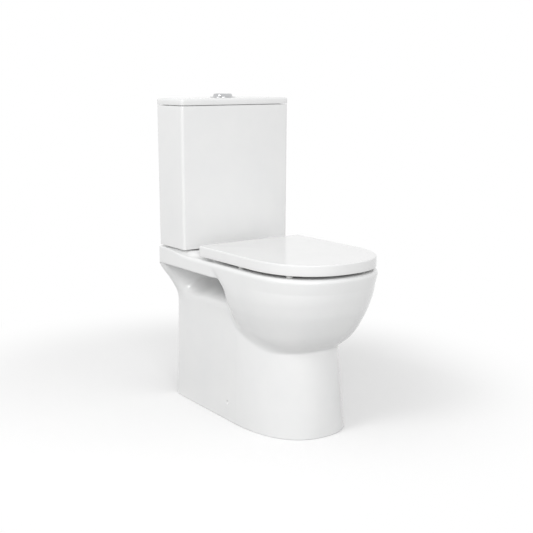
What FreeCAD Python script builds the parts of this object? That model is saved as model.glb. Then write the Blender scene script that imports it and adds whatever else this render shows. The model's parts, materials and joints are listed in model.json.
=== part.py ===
# Close-coupled toilet suite: a floor-standing, wall-faced pan with a tank on its rear shelf, a top push button
# for two flush volumes, and a wrap-over seat and lid on damped hinges.
# Frame: millimetres, +Z up, front towards -Y, the wall is the plane y = 0, the floor is the plane z = 0 and
# x = 0 is the centre plane. Depths are measured forwards from the wall, so a depth d lies at y = -d.
import FreeCAD
import Part
import math
import os

V = FreeCAD.Vector

# Driving dimensions of the whole suite
suite_depth = 620.0
shelf_half_width = 172.0
shelf_top = 437.0
shelf_height = 49.0
rim_drop = 11.0
tank_depth = 134.0
tank_height = 380.0
tank_lid_thickness = 20.0

# Clearances and one overrun for every cut
overrun = 2.0
seat_gap = 0.2
running_gap = 0.05
loose_gap = 0.5

# Pan
pan_wall = 12.0
deck_plate = 14.0
shelf_edge_radius = 10.0
shelf_corner_radius = 8.0
rim_land = 2.0
ramp_start_depth = 150.0
ramp_end_depth = 183.0
shoulder_share = 0.681
front_roundness = 2.35
bowl_rear_depth = 287.0
bowl_rear_roundness = 4.5
bowl_height = 196.0
pedestal_side_setback = 38.0
pedestal_front_setback = 90.0
pedestal_shoulder_share = 0.606
pedestal_roundness = 2.42
spine_half_width = 60.0

# Bowl cavity and water way
rim_side_width = 44.0
rim_front_width = 43.0
cavity_rear_depth = 245.0
cavity_centre_share = 0.458
cavity_front_roundness = 2.1
cavity_rear_roundness = 2.0
cavity_height = 286.0
trap_radius = 32.0
trap_wall = 10.0
trap_bend_radius = 46.0
trap_crest_share = 0.66
trap_drop_share = 0.43
sump_rise = 36.0
weir_drop = 139.0
outlet_height = 185.0
spigot_radius = 51.0
spigot_wall = 8.0
spigot_length = 60.0
spigot_setback = 14.0
duct_half_width = 45.0
duct_wall = 11.0
duct_outlet_height = 16.0
inlet_hole_radius = 29.0

# Tank
tank_side_setback = 2.0
tank_wall = 10.0
tank_floor = 12.0
tank_bow = 1.5
tank_taper = 2.0
tank_front_corner = 7.0
tank_rear_corner = 10.0
tank_lift = 3.0
lid_overhang = 2.5
lid_edge_radius = 6.0
lid_plate = 10.0
lid_joint_height = 1.6
lid_joint_depth = 4.0
lid_lip_height = 9.0
lid_lip_wall = 6.0
lid_lip_gap = 3.0

# Tank to pan joint
valve_depth = 66.0
valve_hole_radius = 31.0
inlet_recess_radius = 48.0
inlet_recess_depth = 14.0
inlet_boss_radius = 58.0
tank_bolt_share = 0.25
tank_bolt_radius = 4.0
tank_bolt_drop = 36.0
tank_bolt_head_radius = 9.0
tank_bolt_head_height = 5.0
bolt_hole_radius = 5.5
cone_washer_radius = 13.0
cone_washer_height = 5.0
spacer_radius = 12.0
pan_washer_radius = 12.0
pan_washer_thickness = 3.0
wing_nut_radius = 9.0
wing_nut_height = 8.0
wing_span = 34.0
wing_thickness = 3.0
wing_height = 14.0

# Flush valve
valve_tail_radius = 30.5
valve_bore_radius = 26.0
valve_tail_drop = 15.0
valve_flange_radius = 42.0
valve_flange_thickness = 5.0
valve_washer_thickness = 3.0
valve_rim_radius = 34.0
valve_rim_height = 9.0
valve_strut_radius = 3.0
valve_strut_height = 34.0
valve_ring_thickness = 6.0
valve_ring_rim = 1.0
valve_nut_radius = 41.0
valve_nut_thickness = 9.0
gasket_wall = 3.5
gasket_bore_radius = 32.0
tower_radius = 33.0
tower_wall = 3.0
tower_height = 130.0
tower_window_share = 0.6
overflow_radius = 14.0
overflow_wall = 2.5
overflow_drop = 120.0
seal_radius = 31.0
seal_thickness = 3.0
seal_plate_thickness = 4.0
core_travel_gap = 0.3
half_float_radius = 26.0
half_float_height = 40.0
half_float_lift = 34.0
bridge_leg_offset = 27.0
bridge_leg_width = 6.0
bridge_leg_depth = 12.0
bridge_drop = 34.0
bridge_thickness = 6.0
plunger_offset = 9.0
plunger_radius = 4.0
plunger_length = 27.0
plunger_head_radius = 6.5
plunger_head_height = 3.0

# Push button
bezel_radius = 35.0
bezel_top_radius = 23.5
bezel_foot_height = 2.5
bezel_height = 9.5
barrel_radius = 21.5
barrel_bore_radius = 19.6
barrel_drop = 40.0
barrel_floor = 3.0
barrel_hole_gap = 0.8
barrel_nut_radius = 30.0
barrel_nut_thickness = 8.0
button_radius = 19.0
button_split = 0.5
button_thickness = 6.0
button_proud = 0.7
button_travel = 7.0
stem_radius = 3.0
stem_drop = 10.0
rod_radius = 2.5
spring_radius = 5.5
spring_wire = 0.5
spring_turns = 5

# Fill valve
fill_valve_inset = 40.0
shank_radius = 10.4
shank_bore_radius = 5.5
riser_bore_radius = 4.5
shank_drop = 45.0
shank_hole_gap = 1.1
shank_flange_radius = 17.0
shank_flange_thickness = 4.0
shank_washer_thickness = 3.0
riser_radius = 11.0
riser_drop = 120.0
shank_nut_across = 30.0
shank_nut_thickness = 11.0
fill_access_radius = 20.0
fill_head_radius = 18.0
fill_head_height = 38.0
fill_cap_height = 6.0
fill_cap_rim = 1.0
float_radius = 24.0
float_wall = 2.5
float_height = 70.0
float_drop = 220.0
float_gap = 1.0
float_collar_height = 4.0
float_rod_radius = 2.0
float_rod_offset = 21.5
lever_width = 7.0
lever_thickness = 4.0
lever_pivot_offset = 12.0
lever_overhang = 3.0
lever_rise = 4.0
lever_ear_thickness = 3.0
lever_ear_depth = 8.0
lever_pin_radius = 1.6

# Seat
seat_side_setback = 6.4
seat_rear_depth = 193.4
seat_rise = 8.0
seat_height = 28.0
seat_lid_plate = 6.0
seat_lid_wall = 5.0
seat_edge_radius = 3.5
seat_rear_corner = 12.0
lid_hinge_room = 10.7
ring_margin = 2.0
ring_rise = 6.5
ring_height = 18.5
ring_side_width = 57.6
ring_front_width = 72.0
ring_hole_rear_depth = 262.0
ring_rear_depth = 224.0
ring_edge_radius = 4.0
ring_hole_radius = 6.0
ring_rear_corner = 20.0
ring_hole_roundness = 2.2
ring_buffer_radius = 8.0
lid_buffer_radius = 5.0
# Places of the buffers as shares of the seat's half width and front depth
ring_buffer_shares = ((0.912, 0.6065), (0.755, 0.870))
lid_buffer_shares = ((0.809, 0.484), (0.737, 0.8065))

# Seat hinges
hinge_axis_depth = 208.0
hinge_rise = 21.0
hinge_offset = 77.5
knuckle_radius = 8.5
knuckle_length = 18.0
hinge_end_gap = 0.8
post_width = 26.0
post_half_depth = 6.5
damper_radius = 6.0
damper_shaft_radius = 4.0
hinge_base_radius = 19.0
hinge_base_height = 4.0
hinge_bolt_radius = 3.9
hinge_bolt_hole_radius = 6.5
hinge_bolt_drop = 46.0
hinge_washer_radius = 14.0
hinge_washer_thickness = 3.0
hinge_nut_across = 19.0
hinge_nut_thickness = 12.0

# Fixings at the floor
fixing_height = 49.0
fixing_depth = 276.0
fixing_hole_radius = 4.5
fixing_head_radius = 4.2
fixing_head_length = 5.0
fixing_screw_radius = 2.6
fixing_recess = 6.0
bracket_gap = 2.0
bracket_thickness = 8.0
bracket_width = 36.0
bracket_height = 62.0
bracket_foot = 44.0
bracket_foot_thickness = 6.0
bracket_hole_radius = 4.0
bracket_hole_inset = 28.0
sleeve_wall = 0.8
sleeve_length = 10.0

# Values worked out from the driving dimensions: the pan
loft_degree = 3
shelf_underside = shelf_top - shelf_height
rim_top = shelf_top - rim_drop
shoulder_depth = suite_depth * shoulder_share
bowl_widest_share = (shoulder_depth - bowl_rear_depth) / (suite_depth - bowl_rear_depth)
bowl_bottom = rim_top - bowl_height
pedestal_half_width = shelf_half_width - pedestal_side_setback
pedestal_front_depth = suite_depth - pedestal_front_setback
pedestal_shoulder_depth = pedestal_front_depth * pedestal_shoulder_share
cavity_half_width = shelf_half_width - rim_side_width
cavity_front_depth = suite_depth - rim_front_width
cavity_centre_depth = cavity_rear_depth + (cavity_front_depth - cavity_rear_depth) * cavity_centre_share
cavity_front_length = cavity_front_depth - cavity_centre_depth
cavity_rear_length = cavity_centre_depth - cavity_rear_depth
cavity_bottom = rim_top - cavity_height
sump_height = cavity_bottom + sump_rise
weir_height = rim_top - weir_drop
# The tank and what stands in it
tank_half_width = shelf_half_width - tank_side_setback
tank_bottom = shelf_top + tank_lift
tank_top = tank_bottom + tank_height
tank_lid_top = tank_top + tank_lid_thickness
tank_floor_top = tank_bottom + tank_floor
lid_underside = tank_lid_top - lid_plate
valve_y = -valve_depth
valve_seat_z = tank_floor_top + valve_washer_thickness + valve_flange_thickness + valve_rim_height
valve_ring_z = valve_seat_z + valve_strut_height
tower_top_z = valve_ring_z + valve_ring_thickness + tower_height
overflow_top = tank_top - overflow_drop
fill_valve_offset = tank_half_width - fill_valve_inset
tank_bolt_nearest = inlet_boss_radius + pan_washer_radius
tank_bolt_furthest = fill_valve_offset - shank_nut_across / 2 - pan_washer_radius
tank_bolt_offset = tank_bolt_nearest + (tank_bolt_furthest - tank_bolt_nearest) * tank_bolt_share
riser_top = tank_top - riser_drop
float_bottom = tank_top - float_drop
head_top = riser_top + fill_head_height
cap_top = head_top + fill_cap_height
lever_axis_y = valve_y + lever_pivot_offset
lever_axis_z = cap_top + lever_rise
lever_low = lever_axis_z - lever_thickness / 2
lever_high = lever_axis_z + lever_thickness / 2
# The push button
button_top = tank_lid_top + bezel_height + button_proud
button_bottom = button_top - button_thickness
barrel_bottom = tank_lid_top - barrel_drop
stem_bottom = barrel_bottom - stem_drop
bridge_top = barrel_bottom - bridge_drop
plunger_top = bridge_top + button_travel + plunger_head_height / 2 + plunger_head_height
# The seat and its hinges
seat_half_width = shelf_half_width - seat_side_setback
seat_front_depth = suite_depth
seat_lid_bottom = rim_top + seat_rise
seat_lid_top = seat_lid_bottom + seat_height
ring_bottom = rim_top + ring_rise
ring_top = ring_bottom + ring_height
ring_hole_half_width = seat_half_width - ring_side_width
ring_hole_front_depth = seat_front_depth - ring_front_width
hinge_y = -hinge_axis_depth
hinge_axis_height = rim_top + hinge_rise
lid_hinge_opening = hinge_offset + post_width / 2 + hinge_end_gap + knuckle_length + lid_hinge_room


def level(z):
    """The height z as a point on the z axis."""
    return V(0, 0, z)


def interpolated(points):
    """One smooth edge through the points."""
    curve = Part.BSplineCurve()
    curve.interpolate(points)
    return curve.toShape()


def superellipse_points(half, centre_depth, reach, roundness, z, count=13):
    """Points from (-half, centre) over the end at centre + reach to (half, centre), a superellipse."""
    points = []
    for step in range(count):
        angle = math.pi * step / (count - 1)
        c, s = math.cos(angle), math.sin(angle)
        x = -half * math.copysign(abs(c) ** (2 / roundness), c)
        y = -centre_depth - reach * abs(s) ** (2 / roundness)
        points.append(V(x, y, z))
    points[0] = V(-half, -centre_depth, z)
    points[-1] = V(half, -centre_depth, z)
    return points


def d_wire(half, rear_depth, centre_depth, front_depth, roundness, corner, z):
    """A closed D: straight rear with rounded corners, straight sides and a superellipse front."""
    side_y = -rear_depth - corner
    k = corner * (1 - math.sqrt(0.5))
    left_mid = V(-half + k, -rear_depth - k, z)
    right_mid = V(half - k, -rear_depth - k, z)
    edges = [
        Part.makeLine(V(half - corner, -rear_depth, z), V(-half + corner, -rear_depth, z)),
        Part.Arc(V(-half + corner, -rear_depth, z), left_mid, V(-half, side_y, z)).toShape(),
        Part.makeLine(V(-half, side_y, z), V(-half, -centre_depth, z)),
        interpolated(superellipse_points(half, centre_depth, front_depth - centre_depth, roundness, z)),
        Part.makeLine(V(half, -centre_depth, z), V(half, side_y, z)),
        Part.Arc(V(half, side_y, z), right_mid, V(half - corner, -rear_depth, z)).toShape(),
    ]
    return Part.Wire(edges)


def prism(wire, height):
    """The closed flat wire raised by height."""
    return Part.Face(wire).extrude(level(height))


def box(x0, x1, y0, y1, z0, z1):
    """An axis-aligned box between two corners."""
    return Part.makeBox(x1 - x0, y1 - y0, z1 - z0, V(x0, y0, z0))


def disc(radius, height, x, y, z):
    """An upright cylinder standing at z."""
    return Part.makeCylinder(radius, height, V(x, y, z))


def bar(radius, x0, x1, y, z):
    """A cylinder along X."""
    return Part.makeCylinder(radius, x1 - x0, V(x0, y, z), V(1, 0, 0))


def tube(outer, inner, height, x, y, z):
    """An upright tube standing at z."""
    return disc(outer, height, x, y, z).cut(disc(inner, height + 2 * overrun, x, y, z - overrun))


def hexagon(across, height, x, y, z):
    """An upright hexagonal prism, its size across the flats."""
    radius = across / 2 / math.cos(math.pi / 6)
    corners = []
    for n in range(7):
        angle = math.pi / 3 * n
        corners.append(V(x + radius * math.cos(angle), y + radius * math.sin(angle), z))
    return prism(Part.makePolygon(corners), height)


def fuse(shapes):
    """All the shapes as one clean solid."""
    whole = shapes[0].multiFuse(shapes[1:])
    return whole.removeSplitter()


def soften(shape, radius, chosen):
    """A fillet on the edges that chosen picks, or the bare shape where none can be made."""
    edges = [e for e in shape.Edges if chosen(e)]
    if not edges or radius <= 0:
        return shape
    return shape.makeFillet(radius, edges)


def flat_at(z):
    """Picks the edges that lie wholly at height z."""
    return lambda e: abs(e.BoundBox.ZMin - z) < 0.01 and abs(e.BoundBox.ZMax - z) < 0.01


def sweep(points, bend, radius):
    """A round bar along straight runs joined by tangent arcs of one bend radius."""
    edges = []
    start = points[0]
    for before, corner, after in zip(points, points[1:], points[2:]):
        a = (before - corner).normalize()
        b = (after - corner).normalize()
        half_angle = a.getAngle(b) / 2
        trim = bend / math.tan(half_angle)
        p, q = corner + a * trim, corner + b * trim
        bisector = (a + b).normalize()
        middle = corner + bisector * (bend / math.sin(half_angle) - bend)
        edges.append(Part.makeLine(start, p))
        edges.append(Part.Arc(p, middle, q).toShape())
        start = q
    edges.append(Part.makeLine(start, points[-1]))
    path = Part.Wire(edges)
    ring = Part.Wire(Part.makeCircle(radius, points[0], points[1] - points[0]))
    return path.makePipeShell([ring], True, False)


# Pan, outside

# Each row: share of the bowl's drop below the rim's rounding, then the half width as a share of the shelf's, and
# how far the rear and the front draw in, as shares of the bowl's length.
bowl_shares = (
    (0.000, 0.994, 0.000, 0.003),
    (0.075, 0.994, 0.000, 0.007),
    (0.150, 0.992, 0.010, 0.013),
    (0.225, 0.988, 0.085, 0.020),
    (0.300, 0.983, 0.112, 0.030),
    (0.380, 0.967, 0.122, 0.043),
    (0.490, 0.938, 0.128, 0.067),
    (0.620, 0.888, 0.140, 0.103),
    (0.730, 0.838, 0.168, 0.142),
    (0.830, 0.785, 0.215, 0.187),
    (0.915, 0.722, 0.285, 0.240),
    (1.000, 0.630, 0.370, 0.310),
)
# Side outline of the pedestal: the depths of its stations as shares of its shoulder depth.
station_shares = (0.0, 0.08, 0.19, 0.45, 0.75, 1.0)
# Each row: height as a share of the shelf's underside, the half widths at the stations as shares of the
# pedestal's, then the shoulder and front depths as shares of the pedestal's own.
pedestal_shares = (
    (0.00, (0.895, 0.903, 0.915, 0.945, 0.980, 1.000), 1.000, 1.000),
    (0.20, (0.880, 0.888, 0.902, 0.934, 0.968, 0.986), 0.997, 0.991),
    (0.42, (0.864, 0.872, 0.885, 0.918, 0.950, 0.967), 0.992, 0.981),
    (0.60, (0.850, 0.856, 0.868, 0.898, 0.927, 0.944), 0.987, 0.971),
    (0.73, (0.842, 0.844, 0.850, 0.870, 0.893, 0.908), 0.978, 0.955),
)
# The pocket under the shelf: height as a share of the shelf's underside, how far the side has drawn in from the
# pedestal's last row towards the spine, how far the back has flared out towards the shelf's edge, and the front
# depth as a share of the pedestal's.
pocket_shares = (
    (0.82, 0.30, 0.20, 0.93),
    (0.91, 0.72, 0.58, 0.89),
    (1.014, 1.00, 0.99, 0.85),
)
# How much of the pocket and of the flare each station takes.
pocket_station_shares = (0.75, 0.82, 0.96, 1.0, 1.0, 1.0)
flare_station_shares = (1.0, 0.62, 0.10, 0.0, 0.0, 0.0)


def pedestal_rows():
    """Height, half widths at the stations, shoulder depth and front depth of every section, floor to shelf."""
    rows = []
    for height, widths, shoulder, front in pedestal_shares:
        halves = [pedestal_half_width * w for w in widths]
        rows.append((shelf_underside * height, halves, pedestal_shoulder_depth * shoulder,
                     pedestal_front_depth * front))
    base, shoulder = rows[-1][1], rows[-1][2]
    for height, drawn, flared, front in pocket_shares:
        halves = []
        for n, width in enumerate(base):
            inward = (width - spine_half_width) * drawn * pocket_station_shares[n]
            outward = (shelf_half_width - width + inward) * flared * flare_station_shares[n]
            halves.append(width - inward + outward)
        rows.append((shelf_underside * height, halves, shoulder, pedestal_front_depth * front))
    return rows


def pedestal_wire(z, halves, shoulder, front, back_y=0.0):
    """A closed section of the pedestal at height z."""
    depths = [shoulder * s for s in station_shares]
    left = [V(-half, -depth, z) for half, depth in zip(halves, depths)]
    left[0] = V(-halves[0], back_y, z)
    right = [V(p.x * -1, p.y, z) for p in reversed(left)]
    nose = superellipse_points(halves[-1], shoulder, front - shoulder, pedestal_roundness, z)
    return Part.Wire([
        Part.makeLine(right[-1], left[0]),
        interpolated(left),
        interpolated(nose),
        interpolated(right),
    ])


def pedestal_outside():
    """The skirted foot, with the flare that meets the wall and the hand pocket under the shelf."""
    wires = [pedestal_wire(*row) for row in pedestal_rows()]
    return Part.makeLoft(wires, True, False, False, loft_degree)


def pedestal_inside():
    """The hollow of the foot, open at the floor and at the wall."""
    wires = []
    rows = pedestal_rows()
    for n, (z, halves, shoulder, front) in enumerate(rows):
        inner = [min(half, halves[2]) - pan_wall for half in halves]
        height = z - pan_wall if n == len(rows) - 1 else z
        height = height - overrun if n == 0 else height
        wires.append(pedestal_wire(height, inner, shoulder, front - pan_wall, overrun))
    return Part.makeLoft(wires, True, False, False, loft_degree)


def bowl_outside():
    """The round belly of the bowl below the shelf's underside."""
    length = suite_depth - bowl_rear_depth
    bowl_top = rim_top - shelf_edge_radius - rim_land / 2
    drop = bowl_top - bowl_bottom
    wires = []
    for down, width, rear, front in bowl_shares:
        z = bowl_top - drop * down
        half = shelf_half_width * width
        rear_depth = bowl_rear_depth + length * rear
        front_depth = suite_depth - length * front
        centre = rear_depth + (front_depth - rear_depth) * bowl_widest_share
        nose = superellipse_points(half, centre, front_depth - centre, front_roundness, z)
        back = superellipse_points(-half, centre, rear_depth - centre, bowl_rear_roundness, z)
        wires.append(Part.Wire([interpolated(nose), interpolated(back)]))
    return Part.makeLoft(wires, True, False, False, loft_degree)


def shelf_outside():
    """Rim and rear shelf in one slab, with the ramp up to the tank's level."""
    outline = d_wire(shelf_half_width, 0, shoulder_depth, suite_depth, front_roundness, shelf_corner_radius,
                     shelf_underside)
    slab = prism(outline, shelf_top - shelf_underside)
    reach = shelf_half_width + overrun
    slab = slab.cut(box(-reach, reach, -suite_depth - overrun, -bowl_rear_depth - shelf_edge_radius,
                        shelf_underside - overrun, rim_top - shelf_edge_radius - rim_land))
    profile = Part.makePolygon([
        V(-shelf_half_width - overrun, -ramp_start_depth, shelf_top + overrun),
        V(-shelf_half_width - overrun, -ramp_start_depth, shelf_top),
        V(-shelf_half_width - overrun, -ramp_end_depth, rim_top),
        V(-shelf_half_width - overrun, -suite_depth - overrun, rim_top),
        V(-shelf_half_width - overrun, -suite_depth - overrun, shelf_top + overrun),
        V(-shelf_half_width - overrun, -ramp_start_depth, shelf_top + overrun),
    ])
    above = Part.Face(profile).extrude(V(2 * (shelf_half_width + overrun), 0, 0))
    slab = slab.cut(above)
    side = shelf_half_width - shelf_corner_radius

    def outer_top(e):
        """Picks the top edges along the slab's outside, but not those across it or at the wall."""
        b = e.BoundBox
        across = b.XMin < -side and b.XMax > side and b.YMin > -shoulder_depth
        return b.ZMin > rim_top - seat_gap and not across and b.YMax < -seat_gap

    return soften(slab, shelf_edge_radius, outer_top)


# Pan, inside

# Each row of the bowl's cavity: height as a share of its depth up from its bottom, half width and length shares.
cavity_shares = (
    (1.000, 1.000, 1.000, 1.000),
    (0.925, 1.018, 1.010, 1.005),
    (0.840, 1.130, 1.055, 0.985),
    (0.700, 1.130, 1.040, 0.930),
    (0.560, 1.020, 0.920, 0.830),
    (0.420, 0.810, 0.745, 0.665),
    (0.290, 0.570, 0.535, 0.500),
    (0.170, 0.395, 0.345, 0.360),
    (0.060, 0.305, 0.245, 0.265),
    (0.000, 0.240, 0.195, 0.210),
)


def cavity(grow, top, bottom):
    """The bowl's cavity, its walls moved out by grow, from bottom to top."""
    depth = rim_top - cavity_bottom
    wires = []
    for height, width, front, rear in cavity_shares:
        z = cavity_bottom + depth * height
        z = top if height == 1.0 else z
        z = bottom if height == 0.0 else z
        half = cavity_half_width * width + grow
        nose = superellipse_points(half, cavity_centre_depth, cavity_front_length * front + grow,
                                   cavity_front_roundness, z)
        back = superellipse_points(-half, cavity_centre_depth, -cavity_rear_length * rear - grow,
                                   cavity_rear_roundness, z)
        wires.append(Part.Wire([interpolated(nose), interpolated(back)]))
    return Part.makeLoft(wires, True, False, False, loft_degree)


def trap_path():
    """The waterway's centre line: out of the sump, over the weir and down to the spigot."""
    sump_y = -cavity_centre_depth
    crest_y = -cavity_centre_depth * trap_crest_share
    drop_y = -cavity_centre_depth * trap_drop_share
    return [
        V(0, sump_y, sump_height),
        V(0, (sump_y + crest_y) / 2 - trap_radius / 2, sump_height),
        V(0, crest_y, weir_height + trap_radius / 2),
        V(0, drop_y, outlet_height),
        V(0, -spigot_setback, outlet_height),
    ]


def rim_blank():
    """The rim and the shelf with the room under the tank, the flush duct and the boss round the inlet."""
    side = shelf_half_width - pan_wall
    low = shelf_underside - overrun
    front = -bowl_rear_depth + pan_wall / 2
    under_tank = box(-side, side, -ramp_start_depth, -pan_wall, low, shelf_top - deck_plate)
    under_hinge = box(-side, side, front, -ramp_start_depth + overrun, low, rim_top - deck_plate)
    slab = shelf_outside().cut(under_tank.fuse(under_hinge))
    duct = box(-duct_half_width, duct_half_width, -cavity_rear_depth + duct_wall, duct_rear(),
               shelf_underside - duct_wall, rim_top - deck_plate + overrun)
    boss = disc(inlet_boss_radius, shelf_height - shelf_edge_radius, 0, valve_y, shelf_underside)
    return fuse([slab, duct, boss])


def duct_rear():
    """Where the duct ends towards the wall, behind the inlet."""
    return valve_y + inlet_hole_radius + duct_wall


def bowl_blank():
    """The belly and the wall round the bowl's cavity."""
    shell = cavity(pan_wall, rim_top - deck_plate + overrun, cavity_bottom - pan_wall)
    return fuse([bowl_outside(), shell])


def trap_blank():
    """The trap's bent pipe and the spigot at its end."""
    trap = sweep(trap_path(), trap_bend_radius, trap_radius + trap_wall)
    start = -spigot_setback - spigot_length
    spigot = Part.makeCylinder(spigot_radius, spigot_length, V(0, start, outlet_height), V(0, 1, 0))
    return fuse([trap, spigot])


def pan_openings():
    """Everything that is hollowed or bored through the finished pan."""
    trap_way = trap_path()
    trap_way[-1] = trap_way[-1] + V(0, spigot_setback, 0)
    spigot_inside = -spigot_setback - spigot_length + spigot_wall
    channel = duct_half_width - duct_wall
    channel_front = -cavity_rear_depth - pan_wall
    low, top = shelf_underside + overrun, shelf_top + overrun
    recess_floor = shelf_top - inlet_recess_depth
    access_floor = shelf_underside - overrun
    cuts = [
        cavity(0, rim_top + overrun, cavity_bottom),
        sweep(trap_way, trap_bend_radius, trap_radius),
        Part.makeCylinder(spigot_radius - spigot_wall, spigot_length, V(0, spigot_inside, outlet_height),
                          V(0, 1, 0)),
        box(-channel, channel, channel_front, duct_rear() - duct_wall, shelf_underside,
            shelf_underside + duct_outlet_height),
        disc(inlet_hole_radius, top - low, 0, valve_y, low),
        disc(inlet_recess_radius, top - recess_floor, 0, valve_y, recess_floor),
        disc(fill_access_radius, top - access_floor, fill_valve_offset, valve_y, access_floor),
    ]
    for sign in (-1, 1):
        cuts.append(disc(bolt_hole_radius, top - low, sign * tank_bolt_offset, valve_y, low))
        cuts.append(disc(hinge_bolt_hole_radius, top - low, sign * hinge_offset, hinge_y, low))
        x0, x1 = sorted((sign * bracket_face(), sign * (pedestal_half_width + overrun)))
        cuts.append(bar(fixing_hole_radius, x0, x1, -fixing_depth, fixing_height))
    return cuts


def pan_pieces():
    """The pan in the four pieces that are cast apart and luted together before the firing.

    Each piece gives way to those before it, so the seams touch and nothing overlaps.
    """
    blanks = (
        ("pan_rim", rim_blank()),
        ("pan_bowl", bowl_blank()),
        ("pan_trap", trap_blank()),
        ("pan_foot", pedestal_outside().cut(pedestal_inside())),
    )
    cuts = pan_openings()
    for n, (name, blank) in enumerate(blanks):
        piece = blank
        for _, earlier in blanks[:n]:
            piece = piece.cut(earlier)
        for cut in cuts:
            piece = piece.cut(cut)
        yield name, piece


# Floor fixings, inside the foot

def side_reach(shape, height, depth):
    """How far out a shape's side lies at a height and a depth, measured on its surface."""
    probe = Part.makeLine(V(0, -depth, height), V(shelf_half_width, -depth, height))
    return shape.common(probe).BoundBox.XMax


def foot_half_width():
    """How far out the foot's side lies at the screws."""
    return side_reach(pedestal_outside(), fixing_height, fixing_depth)


def bracket_face():
    """How far out the brackets' upright faces stand: clear of the foot's wall at all four corners."""
    inside = pedestal_inside()
    near, far = fixing_depth - bracket_width / 2, fixing_depth + bracket_width / 2
    corners = [(height, depth) for height in (0, bracket_height) for depth in (near, far)]
    return min(side_reach(inside, height, depth) for height, depth in corners) - bracket_gap


def floor_brackets():
    """Two angle brackets that are bolted to the floor and take the side screws."""
    brackets = []
    face = bracket_face()
    for sign in (-1, 1):
        outer, inner = sign * face, sign * (face - bracket_thickness)
        toe = sign * (face - bracket_foot)
        y0, y1 = -fixing_depth - bracket_width / 2, -fixing_depth + bracket_width / 2
        plate = box(min(outer, inner), max(outer, inner), y0, y1, 0, bracket_height)
        foot = box(min(outer, toe), max(outer, toe), y0, y1, 0, bracket_foot_thickness)
        hole_x = sign * (face - bracket_hole_inset)
        hole = disc(bracket_hole_radius, bracket_foot_thickness + 2 * overrun, hole_x, -fixing_depth, -overrun)
        x0, x1 = min(outer, inner) - overrun, max(outer, inner) + overrun
        thread = bar(fixing_screw_radius + running_gap, x0, x1, -fixing_depth, fixing_height)
        brackets.append(plate.fuse(foot).removeSplitter().cut(hole).cut(thread))
    return Part.makeCompound(brackets)


def side_fixing_screws():
    """Two screws that run through the foot's sides into the brackets, their heads set back in the holes."""
    head_end = foot_half_width() - fixing_recess
    screws = []
    for sign in (-1, 1):
        head_start = head_end - fixing_head_length
        tip = bracket_face() - bracket_thickness - overrun
        x0, x1 = sorted((sign * tip, sign * head_start))
        shank = bar(fixing_screw_radius, x0, x1, -fixing_depth, fixing_height)
        x0, x1 = sorted((sign * head_start, sign * head_end))
        head = bar(fixing_head_radius, x0, x1, -fixing_depth, fixing_height)
        screws.append(shank.fuse(head).removeSplitter())
    return Part.makeCompound(screws)


def side_fixing_sleeves():
    """Two plastic sleeves that line the holes behind the screw heads."""
    head_start = foot_half_width() - fixing_recess - fixing_head_length
    sleeves = []
    for sign in (-1, 1):
        x0, x1 = sorted((sign * (head_start - sleeve_length), sign * (head_start - seat_gap)))
        outer = bar(fixing_hole_radius - seat_gap, x0, x1, -fixing_depth, fixing_height)
        inner = bar(fixing_hole_radius - seat_gap - sleeve_wall, x0 - overrun, x1 + overrun, -fixing_depth,
                    fixing_height)
        sleeves.append(outer.cut(inner))
    return Part.makeCompound(sleeves)


# Tank

def tank_wire(half, depth, front_corner, rear_corner, rear_y, z):
    """A closed tank section: rounded corners, flat sides and a slightly bowed front."""
    k = 1 - math.sqrt(0.5)
    front_y = rear_y - depth
    side_y = front_y + tank_bow
    f, r = front_corner, rear_corner
    points = {
        "rl": V(-half + r, rear_y, z), "rr": V(half - r, rear_y, z),
        "sl": V(-half, rear_y - r, z), "sr": V(half, rear_y - r, z),
        "fl": V(-half, side_y + f, z), "fr": V(half, side_y + f, z),
        "bl": V(-half + f, side_y, z), "br": V(half - f, side_y, z),
    }
    return Part.Wire([
        Part.makeLine(points["rr"], points["rl"]),
        Part.Arc(points["rl"], V(-half + r * k, rear_y - r * k, z), points["sl"]).toShape(),
        Part.makeLine(points["sl"], points["fl"]),
        Part.Arc(points["fl"], V(-half + f * k, side_y + f * k, z), points["bl"]).toShape(),
        Part.Arc(points["bl"], V(0, front_y, z), points["br"]).toShape(),
        Part.Arc(points["br"], V(half - f * k, side_y + f * k, z), points["fr"]).toShape(),
        Part.makeLine(points["fr"], points["sr"]),
        Part.Arc(points["sr"], V(half - r * k, rear_y - r * k, z), points["rr"]).toShape(),
    ])


def tank_section(inset, z):
    """The tank's section at height z, moved in by inset, with the taper of its sides."""
    taper = tank_taper * (tank_top - z) / tank_height
    half = tank_half_width - taper - inset
    depth = tank_depth - taper - 2 * inset
    return tank_wire(half, depth, max(tank_front_corner - inset, inset / 2),
                     max(tank_rear_corner - inset, inset / 2), -inset, z)


def tank_body():
    """The open ceramic tank with holes for both valves and both bolts in its floor."""
    outer = Part.makeLoft([tank_section(0, tank_bottom), tank_section(0, tank_top)], True, True)
    outer = soften(outer, tank_wall / 3, flat_at(tank_bottom))
    inner = Part.makeLoft([tank_section(tank_wall, tank_floor_top),
                           tank_section(tank_wall, tank_top + overrun)], True, True)
    body = outer.cut(inner)
    low, deep = tank_bottom - overrun, tank_floor + 2 * overrun
    body = body.cut(disc(valve_hole_radius, deep, 0, valve_y, low))
    body = body.cut(disc(shank_radius + shank_hole_gap, deep, fill_valve_offset, valve_y, low))
    for sign in (-1, 1):
        body = body.cut(disc(bolt_hole_radius, deep, sign * tank_bolt_offset, valve_y, low))
    return body


def lid_section(inset, z):
    """The tank lid's outline at height z, moved in by inset; its rear stays flush with the tank."""
    half = tank_half_width + lid_overhang - inset
    return tank_wire(half, tank_depth + lid_overhang - 2 * inset, max(tank_front_corner - inset, inset / 2),
                     max(tank_rear_corner - inset, inset / 2), -inset, z)


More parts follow.
